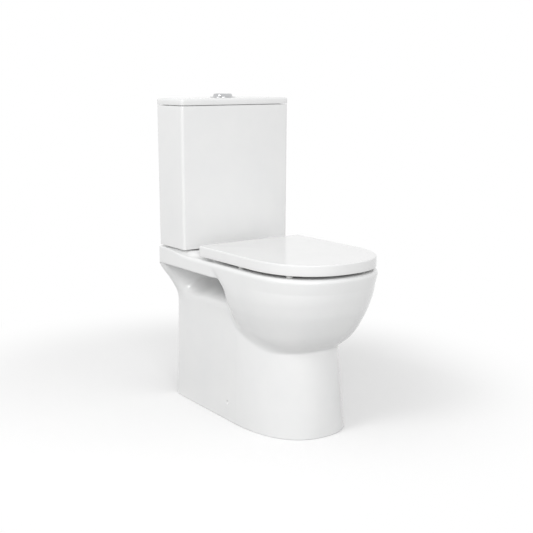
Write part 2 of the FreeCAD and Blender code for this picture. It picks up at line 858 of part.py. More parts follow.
def tank_lid():
    """The ceramic lid: a plate with a rolled edge, a shadow step below it and a lip inside the tank."""
    lid = prism(lid_section(0, tank_top), tank_lid_thickness)
    lid = soften(lid, lid_edge_radius, flat_at(tank_lid_top))
    rim = prism(lid_section(0, tank_top), lid_joint_height)
    rim = rim.cut(prism(lid_section(lid_joint_depth + lid_overhang, tank_top - overrun), 2 * overrun
                        + lid_joint_height))
    lid = lid.cut(rim)
    lip_outside = tank_wall + lid_lip_gap
    lip_bottom = tank_top - lid_lip_height
    lip = prism(tank_section(lip_outside, lip_bottom), lid_lip_height + overrun)
    pocket = prism(tank_section(lip_outside + lid_lip_wall, lip_bottom - overrun),
                   lid_underside - lip_bottom + overrun)
    lid = lid.fuse(lip).removeSplitter().cut(pocket)
    return lid.cut(disc(barrel_radius + barrel_hole_gap, tank_lid_thickness + overrun, 0, valve_y, tank_top))


# Joint between tank and pan

def tank_bolts():
    """Two bolts from inside the tank down through the shelf, with slotted round heads."""
    bolts = []
    seat = tank_floor_top + cone_washer_height
    for sign in (-1, 1):
        x = sign * tank_bolt_offset
        foot = shelf_top - tank_bolt_drop
        shank = disc(tank_bolt_radius, seat - foot + tank_bolt_head_height, x, valve_y, foot)
        head = disc(tank_bolt_head_radius, tank_bolt_head_height, x, valve_y, seat)
        head = soften(head, tank_bolt_head_height / 4, flat_at(seat + tank_bolt_head_height))
        slot_half = tank_bolt_radius / 4
        slot = box(x - tank_bolt_head_radius, x + tank_bolt_head_radius, valve_y - slot_half,
                   valve_y + slot_half, seat + tank_bolt_head_height / 2, seat + 2 * tank_bolt_head_height)
        bolts.append(head.fuse(shank).removeSplitter().cut(slot))
    return Part.makeCompound(bolts)


def cone_washers():
    """Two cone-shaped rubber washers that seal the bolts in the tank's floor."""
    washers = []
    for sign in (-1, 1):
        place = V(sign * tank_bolt_offset, valve_y, tank_floor_top)
        cone = Part.makeCone(cone_washer_radius, tank_bolt_head_radius, cone_washer_height, place)
        hole = disc(tank_bolt_radius + seat_gap, cone_washer_height + 2 * overrun, place.x, valve_y,
                    tank_floor_top - overrun)
        washers.append(cone.cut(hole))
    return Part.makeCompound(washers)


def tank_spacers():
    """Two rubber rings on the bolts that hold the tank just clear of the shelf."""
    rings = [tube(spacer_radius, bolt_hole_radius, tank_lift, sign * tank_bolt_offset, valve_y, shelf_top)
             for sign in (-1, 1)]
    return Part.makeCompound(rings)


def shelf_washers():
    """Two rubber-faced washers on the bolts under the shelf."""
    underside = shelf_top - deck_plate
    rings = [tube(pan_washer_radius, tank_bolt_radius + seat_gap, pan_washer_thickness, sign * tank_bolt_offset,
                  valve_y, underside - pan_washer_thickness) for sign in (-1, 1)]
    return Part.makeCompound(rings)


def wing_nuts():
    """Two wing nuts that draw the tank down, reached by hand through the pockets."""
    nuts = []
    top = shelf_top - deck_plate - pan_washer_thickness
    for sign in (-1, 1):
        x = sign * tank_bolt_offset
        hub = disc(wing_nut_radius, wing_nut_height, x, valve_y, top - wing_nut_height)
        wings = box(x - wing_thickness / 2, x + wing_thickness / 2, valve_y - wing_span / 2,
                    valve_y + wing_span / 2, top - wing_height, top - wing_nut_height / 4)
        clear = disc(tank_bolt_radius + wing_thickness, wing_height, x, valve_y,
                     top - wing_nut_height - wing_height)
        hole = disc(tank_bolt_radius + running_gap, wing_height + 2 * overrun, x, valve_y,
                    top - wing_height - overrun)
        nuts.append(hub.fuse(wings).removeSplitter().cut(clear).cut(hole))
    return Part.makeCompound(nuts)


# Flush valve

def flush_valve_base():
    """Threaded tail, flange, valve rim, four struts and the ring that the tower locks on."""
    flange_z = tank_floor_top + valve_washer_thickness
    tail_z = tank_bottom - valve_tail_drop
    tail = disc(valve_tail_radius, flange_z - tail_z + valve_flange_thickness, 0, valve_y, tail_z)
    flange = disc(valve_flange_radius, valve_flange_thickness, 0, valve_y, flange_z)
    rim = disc(valve_rim_radius, valve_rim_height, 0, valve_y, flange_z + valve_flange_thickness)
    strut_circle = valve_flange_radius - 2 * valve_strut_radius + valve_strut_radius / 2
    ring_outer = strut_circle + valve_strut_radius + valve_ring_rim
    ring = tube(ring_outer, tower_radius - tower_wall, valve_ring_thickness, 0, valve_y, valve_ring_z)
    pieces = [flange, tail, rim, ring]
    for n in range(4):
        angle = math.pi / 2 * n + math.pi / 4
        strut_z = flange_z + valve_flange_thickness - overrun
        pieces.append(disc(valve_strut_radius, valve_ring_z - strut_z + overrun,
                           strut_circle * math.cos(angle), valve_y + strut_circle * math.sin(angle), strut_z))
    bore = disc(valve_bore_radius, valve_seat_z - tail_z + 2 * overrun, 0, valve_y, tail_z - overrun)
    return fuse(pieces).cut(bore)


def flush_valve_washer():
    """The flat rubber washer under the flush valve's flange."""
    return tube(valve_flange_radius, valve_tail_radius + seat_gap, valve_washer_thickness, 0, valve_y,
                tank_floor_top)


def flush_valve_nut():
    """The large round nut that clamps the flush valve under the tank."""
    nut = tube(valve_nut_radius, valve_tail_radius + running_gap, valve_nut_thickness, 0, valve_y,
               tank_bottom - valve_nut_thickness)
    for n in range(6):
        angle = math.pi / 3 * n
        reach = valve_nut_radius + valve_nut_thickness / 4
        notch = disc(valve_nut_thickness / 2, valve_nut_thickness + 2 * overrun, reach * math.cos(angle),
                     valve_y + reach * math.sin(angle), tank_bottom - valve_nut_thickness - overrun)
        nut = nut.cut(notch)
    return nut


def tank_gasket():
    """The thick foam ring that wraps the nut and seals tank to pan."""
    floor_z = shelf_top - inlet_recess_depth
    nut_z = tank_bottom - valve_nut_thickness
    outer = valve_nut_radius + seat_gap + gasket_wall
    ring = tube(outer, gasket_bore_radius, nut_z - floor_z, 0, valve_y, floor_z)
    collar = tube(outer, valve_nut_radius + seat_gap, tank_bottom - nut_z + overrun, 0, valve_y,
                  nut_z - overrun)
    over = disc(outer + overrun, 2 * overrun, 0, valve_y, tank_bottom)
    return ring.fuse(collar).removeSplitter().cut(over)


def flush_valve_tower():
    """The slotted tower on the valve's base, with the guide for the overflow tube in its top."""
    base_z = valve_ring_z + valve_ring_thickness
    wall = tube(tower_radius, tower_radius - tower_wall, tower_height, 0, valve_y, base_z)
    top = disc(tower_radius, tower_wall, 0, valve_y, tower_top_z - tower_wall)
    tower = wall.fuse(top).removeSplitter()
    window_z = base_z + tower_height * (1 - tower_window_share) / 2
    half = tower_radius / 3
    tall = tower_height * tower_window_share
    tower = tower.cut(box(-half, half, valve_y - 2 * tower_radius, valve_y + 2 * tower_radius, window_z,
                          window_z + tall))
    tower = tower.cut(box(-2 * tower_radius, 2 * tower_radius, valve_y - half, valve_y + half, window_z,
                          window_z + tall))
    return tower.cut(disc(overflow_radius + seat_gap, 3 * tower_wall, 0, valve_y, tower_top_z - 2 * tower_wall))


def overflow_tube():
    """The tube that carries the seal and takes any overflow down through the valve."""
    plate_z = valve_seat_z + seal_thickness
    length = overflow_top - valve_seat_z
    body = disc(overflow_radius, length, 0, valve_y, valve_seat_z)
    plate = disc(seal_radius - seal_thickness, seal_plate_thickness, 0, valve_y, plate_z)
    clip = disc(overflow_radius + overflow_wall, overflow_wall, 0, valve_y,
                valve_ring_z + valve_ring_thickness + half_float_lift + half_float_height + overflow_wall)
    whole = fuse([body, plate, clip])
    return whole.cut(disc(overflow_radius - overflow_wall, length + 2 * overrun, 0, valve_y,
                          valve_seat_z - overrun))


def flush_valve_seal():
    """The silicone ring that closes the flush valve."""
    return tube(seal_radius, overflow_radius, seal_thickness, 0, valve_y, valve_seat_z)


def half_flush_float():
    """The ring float inside the tower that sets the short flush."""
    bottom = valve_ring_z + valve_ring_thickness + half_float_lift
    return tube(half_float_radius, overflow_radius + loose_gap, half_float_height, 0, valve_y, bottom)


def button_bridge():
    """The yoke that stands on the tower and guides the plungers under the push rods."""
    legs = []
    for sign in (-1, 1):
        x = sign * bridge_leg_offset
        legs.append(box(x - bridge_leg_width / 2, x + bridge_leg_width / 2, valve_y - bridge_leg_depth / 2,
                        valve_y + bridge_leg_depth / 2, tower_top_z, bridge_top - bridge_thickness / 2))
    reach = bridge_leg_offset + bridge_leg_width / 2
    plate = box(-reach, reach, valve_y - bridge_leg_depth, valve_y + bridge_leg_depth,
                bridge_top - bridge_thickness, bridge_top)
    bridge = fuse([plate] + legs)
    for sign in (-1, 1):
        bridge = bridge.cut(disc(plunger_radius + core_travel_gap, bridge_thickness + 2 * overrun,
                                 sign * plunger_offset, valve_y, bridge_top - bridge_thickness - overrun))
    return bridge


def plunger(sign):
    """One plunger in the bridge, its head under a push rod."""
    x = sign * plunger_offset
    head_z = bridge_top + button_travel + plunger_head_height / 2
    shank = disc(plunger_radius, plunger_length, x, valve_y, head_z - plunger_length)
    head = disc(plunger_head_radius, plunger_head_height, x, valve_y, head_z)
    return shank.fuse(head).removeSplitter()


# Push button

def button_bezel():
    """The chromed cone ring on top of the tank lid."""
    foot = disc(bezel_radius, bezel_foot_height, 0, valve_y, tank_lid_top)
    cone = Part.makeCone(bezel_radius - bezel_foot_height / 3, bezel_top_radius,
                         bezel_height - bezel_foot_height, V(0, valve_y, tank_lid_top + bezel_foot_height))
    ring = foot.fuse(cone).removeSplitter()
    return ring.cut(disc(barrel_radius + seat_gap, bezel_height + 2 * overrun, 0, valve_y,
                         tank_lid_top - overrun))


def button_barrel():
    """The threaded barrel that holds the buttons, with a floor for the springs."""
    top = tank_lid_top + bezel_height
    barrel = disc(barrel_radius, top - barrel_bottom, 0, valve_y, barrel_bottom)
    barrel = barrel.cut(disc(barrel_bore_radius, top - barrel_bottom, 0, valve_y, barrel_bottom + barrel_floor))
    for sign in (-1, 1):
        barrel = barrel.cut(disc(stem_radius + core_travel_gap, barrel_floor + 2 * overrun,
                                 sign * plunger_offset, valve_y, barrel_bottom - overrun))
    return barrel


def barrel_nut():
    """The ring nut that clamps the barrel under the tank lid."""
    nut = tube(barrel_nut_radius, barrel_radius + running_gap, barrel_nut_thickness, 0, valve_y,
               lid_underside - barrel_nut_thickness)
    grip = barrel_nut_thickness / 4
    for n in range(12):
        angle = math.pi / 6 * n
        nut = nut.cut(disc(grip, barrel_nut_thickness + 2 * overrun, barrel_nut_radius * math.cos(angle),
                           valve_y + barrel_nut_radius * math.sin(angle),
                           lid_underside - barrel_nut_thickness - overrun))
    return nut


def flush_button(sign):
    """One half-round chromed button with its stem."""
    whole = disc(button_radius, button_thickness, 0, valve_y, button_bottom)
    whole = soften(whole, button_proud, flat_at(button_top))
    near, far = sorted((sign * button_split / 2, sign * (button_radius + overrun)))
    half = whole.common(box(near, far, valve_y - button_radius - overrun, valve_y + button_radius + overrun,
                            button_bottom - overrun, button_top + overrun))
    stem = disc(stem_radius, button_bottom - stem_bottom + overrun, sign * plunger_offset, valve_y, stem_bottom)
    return half.fuse(stem).removeSplitter()


def button_spring(sign):
    """One return spring round a stem, from the barrel's floor to the button's underside."""
    low = barrel_bottom + barrel_floor + spring_wire + seat_gap
    high = button_bottom - spring_wire - seat_gap
    pitch = (high - low) / spring_turns
    helix = Part.makeHelix(pitch, high - low, spring_radius)
    helix.translate(V(sign * plunger_offset, valve_y, low))
    start = V(sign * plunger_offset + spring_radius, valve_y, low)
    run = V(0, 2 * math.pi * spring_radius, pitch)
    section = Part.Wire(Part.makeCircle(spring_wire, start, run))
    return Part.Wire(helix.Edges).makePipeShell([section], True, True)


def push_rod(sign):
    """One threaded rod under a button's stem, trimmed to just clear its plunger."""
    bottom = plunger_top + loose_gap
    rod = disc(rod_radius, stem_bottom - bottom, sign * plunger_offset, valve_y, bottom)
    return rod


# Fill valve

def fill_valve_shank():
    """The inlet shank with its flange and the riser up to the valve head."""
    flange_z = tank_floor_top + shank_washer_thickness
    low = tank_bottom - shank_drop
    shank = disc(shank_radius, flange_z - low + shank_flange_thickness, fill_valve_offset, valve_y, low)
    flange = disc(shank_flange_radius, shank_flange_thickness, fill_valve_offset, valve_y, flange_z)
    riser = disc(riser_radius, riser_top - flange_z, fill_valve_offset, valve_y, flange_z)
    collar = disc(riser_radius + float_gap + float_wall, float_collar_height, fill_valve_offset, valve_y,
                  float_bottom - float_collar_height)
    tail_bore = disc(shank_bore_radius, flange_z - low + overrun, fill_valve_offset, valve_y, low - overrun)
    bore = disc(riser_bore_radius, riser_top - low + overrun, fill_valve_offset, valve_y, low)
    return fuse([flange, shank, riser, collar]).cut(tail_bore).cut(bore)


def fill_valve_washer():
    """The rubber washer under the fill valve's flange."""
    return tube(shank_flange_radius, shank_radius + seat_gap, shank_washer_thickness, fill_valve_offset, valve_y,
                tank_floor_top)


def fill_valve_nut():
    """The hexagon nut that clamps the fill valve under the tank."""
    low = tank_bottom - shank_nut_thickness
    nut = hexagon(shank_nut_across, shank_nut_thickness, fill_valve_offset, valve_y, low)
    return nut.cut(disc(shank_radius + running_gap, shank_nut_thickness + 2 * overrun, fill_valve_offset,
                        valve_y, low - overrun))


def fill_valve_head():
    """The valve head on the riser, with its outlet spout to one side."""
    body = disc(fill_head_radius, fill_head_height, fill_valve_offset, valve_y, riser_top)
    body = soften(body, fill_cap_rim, flat_at(riser_top))
    spout_z = riser_top + riser_radius
    spout = Part.makeCylinder(riser_radius / 2, riser_radius + fill_head_radius,
                              V(fill_valve_offset, valve_y, spout_z), V(-1, 0, 0))
    bore = Part.makeCylinder(riser_radius / 2 - fill_cap_rim, riser_radius + fill_head_radius,
                             V(fill_valve_offset - fill_head_radius, valve_y, spout_z), V(-1, 0, 0))
    return body.fuse(spout).removeSplitter().cut(bore)


def fill_valve_cap():
    """The cap that closes the valve head, with two ears for the float lever's pin."""
    cap = disc(fill_head_radius, fill_cap_height, fill_valve_offset, valve_y, head_top)
    cap = soften(cap, fill_cap_rim, flat_at(cap_top))
    pieces = [cap]
    for sign in (-1, 1):
        inner = sign * (lever_width / 2 + core_travel_gap)
        x0, x1 = sorted((fill_valve_offset + inner, fill_valve_offset + inner + sign * lever_ear_thickness))
        pieces.append(box(x0, x1, lever_axis_y - lever_ear_depth / 2, lever_axis_y + lever_ear_depth / 2,
                          cap_top - fill_cap_rim, lever_high + fill_cap_rim))
    reach = lever_width + lever_ear_thickness
    hole = bar(lever_pin_radius + running_gap, fill_valve_offset - reach, fill_valve_offset + reach,
               lever_axis_y, lever_axis_z)
    return fuse(pieces).cut(hole)


def lever_pin():
    """The pin of the float lever."""
    reach = lever_width / 2 + core_travel_gap + lever_ear_thickness
    return bar(lever_pin_radius, fill_valve_offset - reach, fill_valve_offset + reach, lever_axis_y, lever_axis_z)


def float_lever():
    """The lever that the float's rod lifts."""
    front = valve_y - float_rod_offset - lever_overhang
    lever = box(fill_valve_offset - lever_width / 2, fill_valve_offset + lever_width / 2, front,
                lever_axis_y + lever_overhang, lever_low, lever_high)
    reach = lever_width
    return lever.cut(bar(lever_pin_radius + running_gap, fill_valve_offset - reach, fill_valve_offset + reach,
                         lever_axis_y, lever_axis_z))


def fill_valve_float():
    """The cup float round the riser, open below, with a small boss for its rod."""
    float_top = float_bottom + float_height
    outer = disc(float_radius, float_height, fill_valve_offset, valve_y, float_bottom)
    inner_bore = riser_radius + float_gap
    room = tube(float_radius - float_wall, inner_bore + float_wall, float_height - float_wall,
                fill_valve_offset, valve_y, float_bottom - overrun)
    cup = outer.cut(room)
    return cup.cut(disc(inner_bore, float_height + 2 * overrun, fill_valve_offset, valve_y,
                        float_top - float_height - overrun))


def float_rod():
    """The rod that stands on the float and reaches up to the lever."""
    low = float_bottom + float_height
    return disc(float_rod_radius, lever_low - loose_gap - low, fill_valve_offset, valve_y - float_rod_offset, low)


# Seat and lid

def ring_outer_wire(inset, z):
    """The seat ring's outline at height z, inside the lid's skirt."""
    margin = seat_lid_wall + ring_margin + inset
    return d_wire(seat_half_width - margin, ring_rear_depth + inset, shoulder_depth,
                  seat_front_depth - margin, front_roundness, ring_rear_corner, z)


def ring_hole_wire(grow, z):
    """The seat ring's opening at height z, moved out by grow."""
    centre = (ring_hole_front_depth + ring_hole_rear_depth) / 2
    length = (ring_hole_front_depth - ring_hole_rear_depth) / 2 + grow
    half = ring_hole_half_width + grow
    nose = superellipse_points(half, centre, length, ring_hole_roundness, z)
    back = superellipse_points(-half, centre, -length, ring_hole_roundness, z)
    return Part.Wire([interpolated(nose), interpolated(back)])


def seat_ring():
    """The seat ring with its rounded edges and its two hinge lugs."""
    height = ring_top - ring_bottom
    ring = prism(ring_outer_wire(0, ring_bottom), height)
    ring = soften(ring, ring_edge_radius, flat_at(ring_top))
    low = Part.makeLoft([ring_hole_wire(0, ring_bottom - overrun), ring_hole_wire(0, ring_top - ring_hole_radius)],
                        True, True)
    flare = Part.makeLoft([ring_hole_wire(0, ring_top - ring_hole_radius - overrun / 2),
                           ring_hole_wire(ring_hole_radius / 4, ring_top - ring_hole_radius / 2),
                           ring_hole_wire(ring_hole_radius, ring_top + overrun / 2)],
                          True, False, False, loft_degree)
    ring = ring.cut(low).cut(flare)
    pieces = [ring]
    for sign in (-1, 1):
        x0, x1 = ring_knuckle_span(sign)
        pieces.append(bar(knuckle_radius, x0, x1, hinge_y, hinge_axis_height))
        pieces.append(box(x0, x1, -ring_rear_depth - ring_edge_radius, hinge_y,
                          hinge_axis_height - knuckle_radius, ring_top - ring_edge_radius / 4))
    whole = fuse(pieces)
    for sign in (-1, 1):
        x0, x1 = ring_knuckle_span(sign)
        whole = whole.cut(bar(damper_radius + running_gap, x0 - overrun, x1 + overrun, hinge_y,
                              hinge_axis_height))
    return whole


def ring_knuckle_span(sign):
    """The x range of the ring's knuckle, on the inner side of a hinge post."""
    near = hinge_offset - post_width / 2 - hinge_end_gap
    return tuple(sorted((sign * near, sign * (near - knuckle_length))))


def lid_knuckle_span(sign):
    """The x range of the lid's knuckle, on the outer side of a hinge post."""
    near = hinge_offset + post_width / 2 + hinge_end_gap
    return tuple(sorted((sign * near, sign * (near + knuckle_length))))


def seat_lid():
    """The wrap-over lid: a plate with a skirt that hides the ring, cut away for the hinges, and two lugs."""
    height = seat_lid_top - seat_lid_bottom
    outline = d_wire(seat_half_width, seat_rear_depth, shoulder_depth, seat_front_depth, front_roundness,
                     seat_rear_corner, seat_lid_bottom)
    lid = prism(outline, height)
    lid = soften(lid, seat_edge_radius, flat_at(seat_lid_top))
    wall = seat_lid_wall
    room = d_wire(seat_half_width - wall, seat_rear_depth + wall, shoulder_depth, seat_front_depth - wall,
                  front_roundness, seat_rear_corner - wall, seat_lid_bottom - overrun)
    plate_z = seat_lid_top - seat_lid_plate
    lid = lid.cut(prism(room, plate_z - seat_lid_bottom + overrun))
    lid = lid.cut(box(-lid_hinge_opening, lid_hinge_opening, -seat_rear_depth - 2 * wall,
                      -seat_rear_depth + overrun, seat_lid_bottom - overrun, plate_z))
    pieces = [lid]
    for sign in (-1, 1):
        x0, x1 = lid_knuckle_span(sign)
        pieces.append(bar(knuckle_radius, x0, x1, hinge_y, hinge_axis_height))
        pieces.append(box(x0, x1, hinge_y - knuckle_radius, hinge_y + knuckle_radius, hinge_axis_height,
                          plate_z + seat_lid_plate / 2))
    whole = fuse(pieces)
    for sign in (-1, 1):
        x0, x1 = lid_knuckle_span(sign)
        whole = whole.cut(bar(damper_radius + running_gap, x0 - overrun, x1 + overrun, hinge_y,
                              hinge_axis_height))
    return whole


def buffers(shares, radius, low, high):
    """Round buffers at shares of the seat's half width and front depth, on both sides of the centre plane."""
    pads = []
    for width_share, depth_share in shares:
        for sign in (-1, 1):
            pad = disc(radius, high - low, sign * seat_half_width * width_share,
                       -seat_front_depth * depth_share, low)
            pads.append(soften(pad, (high - low) / 4, flat_at(low)))
    return Part.makeCompound(pads)


def ring_buffers():
    """Four soft buffers under the ring that rest on the pan's rim."""
    return buffers(ring_buffer_shares, ring_buffer_radius, rim_top, ring_bottom)


def lid_buffers():
    """Four small buffers under the lid that rest on the ring."""
    return buffers(lid_buffer_shares, lid_buffer_radius, ring_top, seat_lid_top - seat_lid_plate)


# Seat hinges

def hinge_posts():
    """Two posts on round bases that carry both hinge shafts."""
    posts = []
    for sign in (-1, 1):
        x = sign * hinge_offset
        half = post_width / 2
        base = disc(hinge_base_radius, hinge_base_height, x, hinge_y, rim_top)
        base = soften(base, hinge_base_height / 4, flat_at(rim_top + hinge_base_height))
        upright = box(x - half, x + half, hinge_y - post_half_depth, hinge_y + post_half_depth,
                      rim_top + hinge_base_height / 2, hinge_axis_height)
        head = bar(post_half_depth, x - half, x + half, hinge_y, hinge_axis_height)
        post = fuse([base, upright, head])
        bore = bar(damper_shaft_radius + running_gap, x - half - overrun, x + half + overrun, hinge_y,
                   hinge_axis_height)
        socket = hexagon(2 * hinge_bolt_radius, hinge_base_height + overrun, x, hinge_y, rim_top - overrun)
        posts.append(post.cut(bore).cut(socket))
    return Part.makeCompound(posts)


def dampers(span, inner_side):
    """Two damper cartridges: a body in the knuckle and a shaft that reaches half-way through the post."""
    pieces = []
    for sign in (-1, 1):
        x0, x1 = span(sign)
        body = bar(damper_radius, x0, x1, hinge_y, hinge_axis_height)
        reach = hinge_end_gap + post_width / 2 - seat_gap
        towards_post = sign if inner_side else -sign
        near = x1 if towards_post > 0 else x0
        a, b = sorted((near - towards_post * overrun, near + towards_post * reach))
        shaft = bar(damper_shaft_radius, a, b, hinge_y, hinge_axis_height)
        pieces.append(body.fuse(shaft).removeSplitter())
    return Part.makeCompound(pieces)


def ring_dampers():
    """The damper cartridges in the ring's knuckles."""
    return dampers(ring_knuckle_span, True)


def lid_dampers():
    """The damper cartridges in the lid's knuckles."""
    return dampers(lid_knuckle_span, False)


def hinge_bolts():
    """Two bolts that hang from the hinge posts through the pan, with hexagon heads in the bases."""
    bolts = []
    for sign in (-1, 1):
        x = sign * hinge_offset
        low = rim_top - hinge_bolt_drop
        head = hexagon(2 * hinge_bolt_radius - 2 * seat_gap, hinge_base_height, x, hinge_y, rim_top)
        head = head.cut(disc(hinge_base_radius, overrun, x, hinge_y, rim_top + hinge_base_height - seat_gap))
        shank = disc(hinge_bolt_radius - seat_gap, rim_top - low + overrun, x, hinge_y, low)
        bolts.append(head.fuse(shank).removeSplitter())
    return Part.makeCompound(bolts)


def hinge_washers():
    """Two cone-edged rubber washers under the pan's rim."""
    underside = rim_top - deck_plate
    rings = [tube(hinge_washer_radius, hinge_bolt_radius, hinge_washer_thickness, sign * hinge_offset, hinge_y,
                  underside - hinge_washer_thickness) for sign in (-1, 1)]
    return Part.makeCompound(rings)


def hinge_nuts():
    """Two hexagon nuts on the hinge bolts."""
    nuts = []
    low = rim_top - deck_plate - hinge_washer_thickness - hinge_nut_thickness
    for sign in (-1, 1):
        x = sign * hinge_offset
        nut = hexagon(hinge_nut_across, hinge_nut_thickness, x, hinge_y, low)
        nuts.append(nut.cut(disc(hinge_bolt_radius - seat_gap + running_gap,
                                 hinge_nut_thickness + 2 * overrun, x, hinge_y, low - overrun)))
    return Part.makeCompound(nuts)


def export(name, shape):
    """Writes one node and reports its size."""
    solids = shape.Solids
    valid = all(s.isValid() for s in solids)
    print(name, len(solids), "valid" if valid else "INVALID", round(shape.Volume / 1000, 1), "cm3")
    shape.exportStep("parts/" + name + ".step")


def nodes():
    """Every node's name and shape, from the floor up."""
    plain = (
        floor_brackets, side_fixing_screws, side_fixing_sleeves,
        tank_body, tank_lid, tank_bolts, cone_washers, tank_spacers, shelf_washers, wing_nuts,
        flush_valve_base, flush_valve_washer, flush_valve_nut, tank_gasket, flush_valve_tower, overflow_tube,
        flush_valve_seal, half_flush_float, button_bridge, button_bezel, button_barrel, barrel_nut,
        fill_valve_shank, fill_valve_washer, fill_valve_nut, fill_valve_head, fill_valve_cap, lever_pin,
        float_lever, fill_valve_float, float_rod,
        seat_ring, seat_lid, ring_buffers, lid_buffers, hinge_posts, ring_dampers, lid_dampers, hinge_bolts,
        hinge_washers, hinge_nuts,
    )
    yield from pan_pieces()
    for build in plain:
        yield build.__name__, build()
    for flush, sign in (("full", -1), ("half", 1)):
        yield flush + "_flush_button", flush_button(sign)
        yield flush + "_button_spring", button_spring(sign)
        yield flush + "_push_rod", push_rod(sign)
        yield flush + "_plunger", plunger(sign)


def main():
    """Builds and writes every node."""
    os.makedirs("parts", exist_ok=True)
    for name, shape in nodes():
        export(name, shape)


main()
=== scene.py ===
"""A white close-coupled toilet suite: pan, tank, push button, seat ring and wrap-over lid.

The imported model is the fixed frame. This script dresses it: the ceramic, the seat and the chrome are smooth
surfaces worked out with numpy, and every piece gets a node material. Lengths are in metres, +Z up, the wall
is the plane y = 0 and the front points towards -Y. A depth is measured forwards from the wall, so a depth d
lies at y = -d.
"""
from __future__ import annotations

import json
import logging
import math
from collections.abc import Callable, Iterator
from dataclasses import dataclass
from enum import Enum

import bmesh
import bpy
import numpy as np
from mathutils import Matrix, Vector


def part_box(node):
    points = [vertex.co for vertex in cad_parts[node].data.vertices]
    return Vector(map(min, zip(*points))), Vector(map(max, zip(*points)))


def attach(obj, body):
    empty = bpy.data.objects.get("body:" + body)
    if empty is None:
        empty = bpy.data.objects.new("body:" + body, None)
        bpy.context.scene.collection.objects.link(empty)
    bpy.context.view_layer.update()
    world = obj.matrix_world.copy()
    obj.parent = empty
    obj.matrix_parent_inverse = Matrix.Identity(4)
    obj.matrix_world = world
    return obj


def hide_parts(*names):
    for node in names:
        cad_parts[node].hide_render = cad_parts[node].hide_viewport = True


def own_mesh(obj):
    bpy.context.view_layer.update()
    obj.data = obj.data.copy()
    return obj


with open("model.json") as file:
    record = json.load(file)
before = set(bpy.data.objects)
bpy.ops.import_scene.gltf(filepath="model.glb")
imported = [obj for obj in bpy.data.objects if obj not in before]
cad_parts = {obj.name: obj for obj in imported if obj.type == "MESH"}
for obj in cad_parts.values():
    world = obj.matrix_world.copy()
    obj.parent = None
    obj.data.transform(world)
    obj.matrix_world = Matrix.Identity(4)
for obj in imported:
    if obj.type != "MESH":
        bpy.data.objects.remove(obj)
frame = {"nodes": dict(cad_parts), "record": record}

LOG = logging.getLogger("suite")
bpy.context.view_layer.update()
MERGE = 2e-6
CRISP = math.radians(38.0)
QUARTER_TURN = np.pi / 2.0
ONTO_MIDDLE = np.array([0.0, 1.0, 1.0])
ONTO_WALL = np.array([1.0, 0.0, 1.0])
UP = np.array([0.0, 0.0, 1.0])
RIM_LOW, RIM_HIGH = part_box("pan_rim")
RIM_SHOULDER = 0.4222
RIM_ROUNDNESS = 2.35


# Array helpers

@dataclass(frozen=True)
class Curve:
    """A curve through known points with no overshoot, held constant past both ends."""

    knots: tuple[float, ...]
    values: tuple[float, ...]

    def __call__(self, at: float | np.ndarray) -> np.ndarray:
        """Reads the curve as cubic pieces, with the harmonic mean of the rises beside a knot as its slope.

        Args:
            at: where to read it.

        Returns:
            The curve at each place.
        """
        x, y = np.array(self.knots), np.array(self.values)
        step, rise = np.diff(x), np.diff(y) / np.diff(x)
        slope = np.zeros_like(y)
        with np.errstate(divide="ignore", invalid="ignore"):
            mean = 2.0 / (1.0 / rise[:-1] + 1.0 / rise[1:])
        slope[1:-1] = np.where(rise[:-1] * rise[1:] > 0, mean, 0.0)
        slope[0], slope[-1] = rise[0], rise[-1]
        at = np.clip(at, x[0], x[-1])
        n = np.clip(np.searchsorted(x, at, side="right") - 1, 0, len(step) - 1)
        t = (at - x[n]) / step[n]
        t2, t3 = t * t, t * t * t
        return ((2 * t3 - 3 * t2 + 1) * y[n] + (t3 - 2 * t2 + t) * step[n] * slope[n]
                + (-2 * t3 + 3 * t2) * y[n + 1] + (t3 - t2) * step[n] * slope[n + 1])


def smoothstep(x: float | np.ndarray, low: float, high: float) -> np.ndarray:
    """Rises from 0 at low to 1 at high with level ends."""
    t = np.clip((x - low) / (high - low), 0.0, 1.0)
    return t * t * (3.0 - 2.0 * t)


def soft_max(a: np.ndarray, b: np.ndarray, blend: float) -> np.ndarray:
    """The larger of a and b, with a fillet where they differ by less than blend."""
    h = np.clip(1.0 - np.abs(a - b) / blend, 0.0, 1.0)
    return np.maximum(a, b) + h * h * blend / 4.0


def superellipse(a: np.ndarray, b: np.ndarray, n: float | np.ndarray) -> np.ndarray:
    """The size of a step (a, b) as a superellipse of power n measures it, 1 on the unit one."""
    return (np.abs(a) ** n + np.abs(b) ** n) ** (1.0 / n)


def arc(centre: tuple[float, float], radius: float, start: float, end: float, count: int) -> np.ndarray:
    """Points on a flat arc, angles in degrees, both ends included."""
    angle = np.radians(np.linspace(start, end, count))
    return np.stack([centre[0] + radius * np.cos(angle), centre[1] + radius * np.sin(angle)], axis=1)


def rolled(count: int, skip: int = 0) -> Iterator[tuple[float, float]]:
    """Steps over an edge of radius 1, from its side to its top: how far in, and how far below the top."""
    for angle in np.linspace(0.0, QUARTER_TURN, count)[skip:]:
        yield 1.0 - math.cos(angle), 1.0 - math.sin(angle)


def layer(loop: np.ndarray, z: float | np.ndarray) -> np.ndarray:
    """Flat points lifted to a height, or to a height each."""
    return np.concatenate([loop, np.broadcast_to(z, len(loop))[:, None]], axis=1)


def both_sides(right: np.ndarray) -> np.ndarray:
    """A flat outline from its right half, which starts and ends on the middle plane."""
    return np.concatenate([right, right[1:-1][::-1] * np.array([-1.0, 1.0])])


def crowned(flat: np.ndarray, end: np.ndarray, z: float, crown: float, share: float,
            count: int) -> list[np.ndarray]:
    """Rows from a flat loop in to its end, which rise as a sine by the crown over a share of the way."""
    return [layer(flat + (end - flat) * t, z + crown * math.sin(min(t / share, 1.0) * QUARTER_TURN))
            for t in np.linspace(0.0, 1.0, count)[1:]]


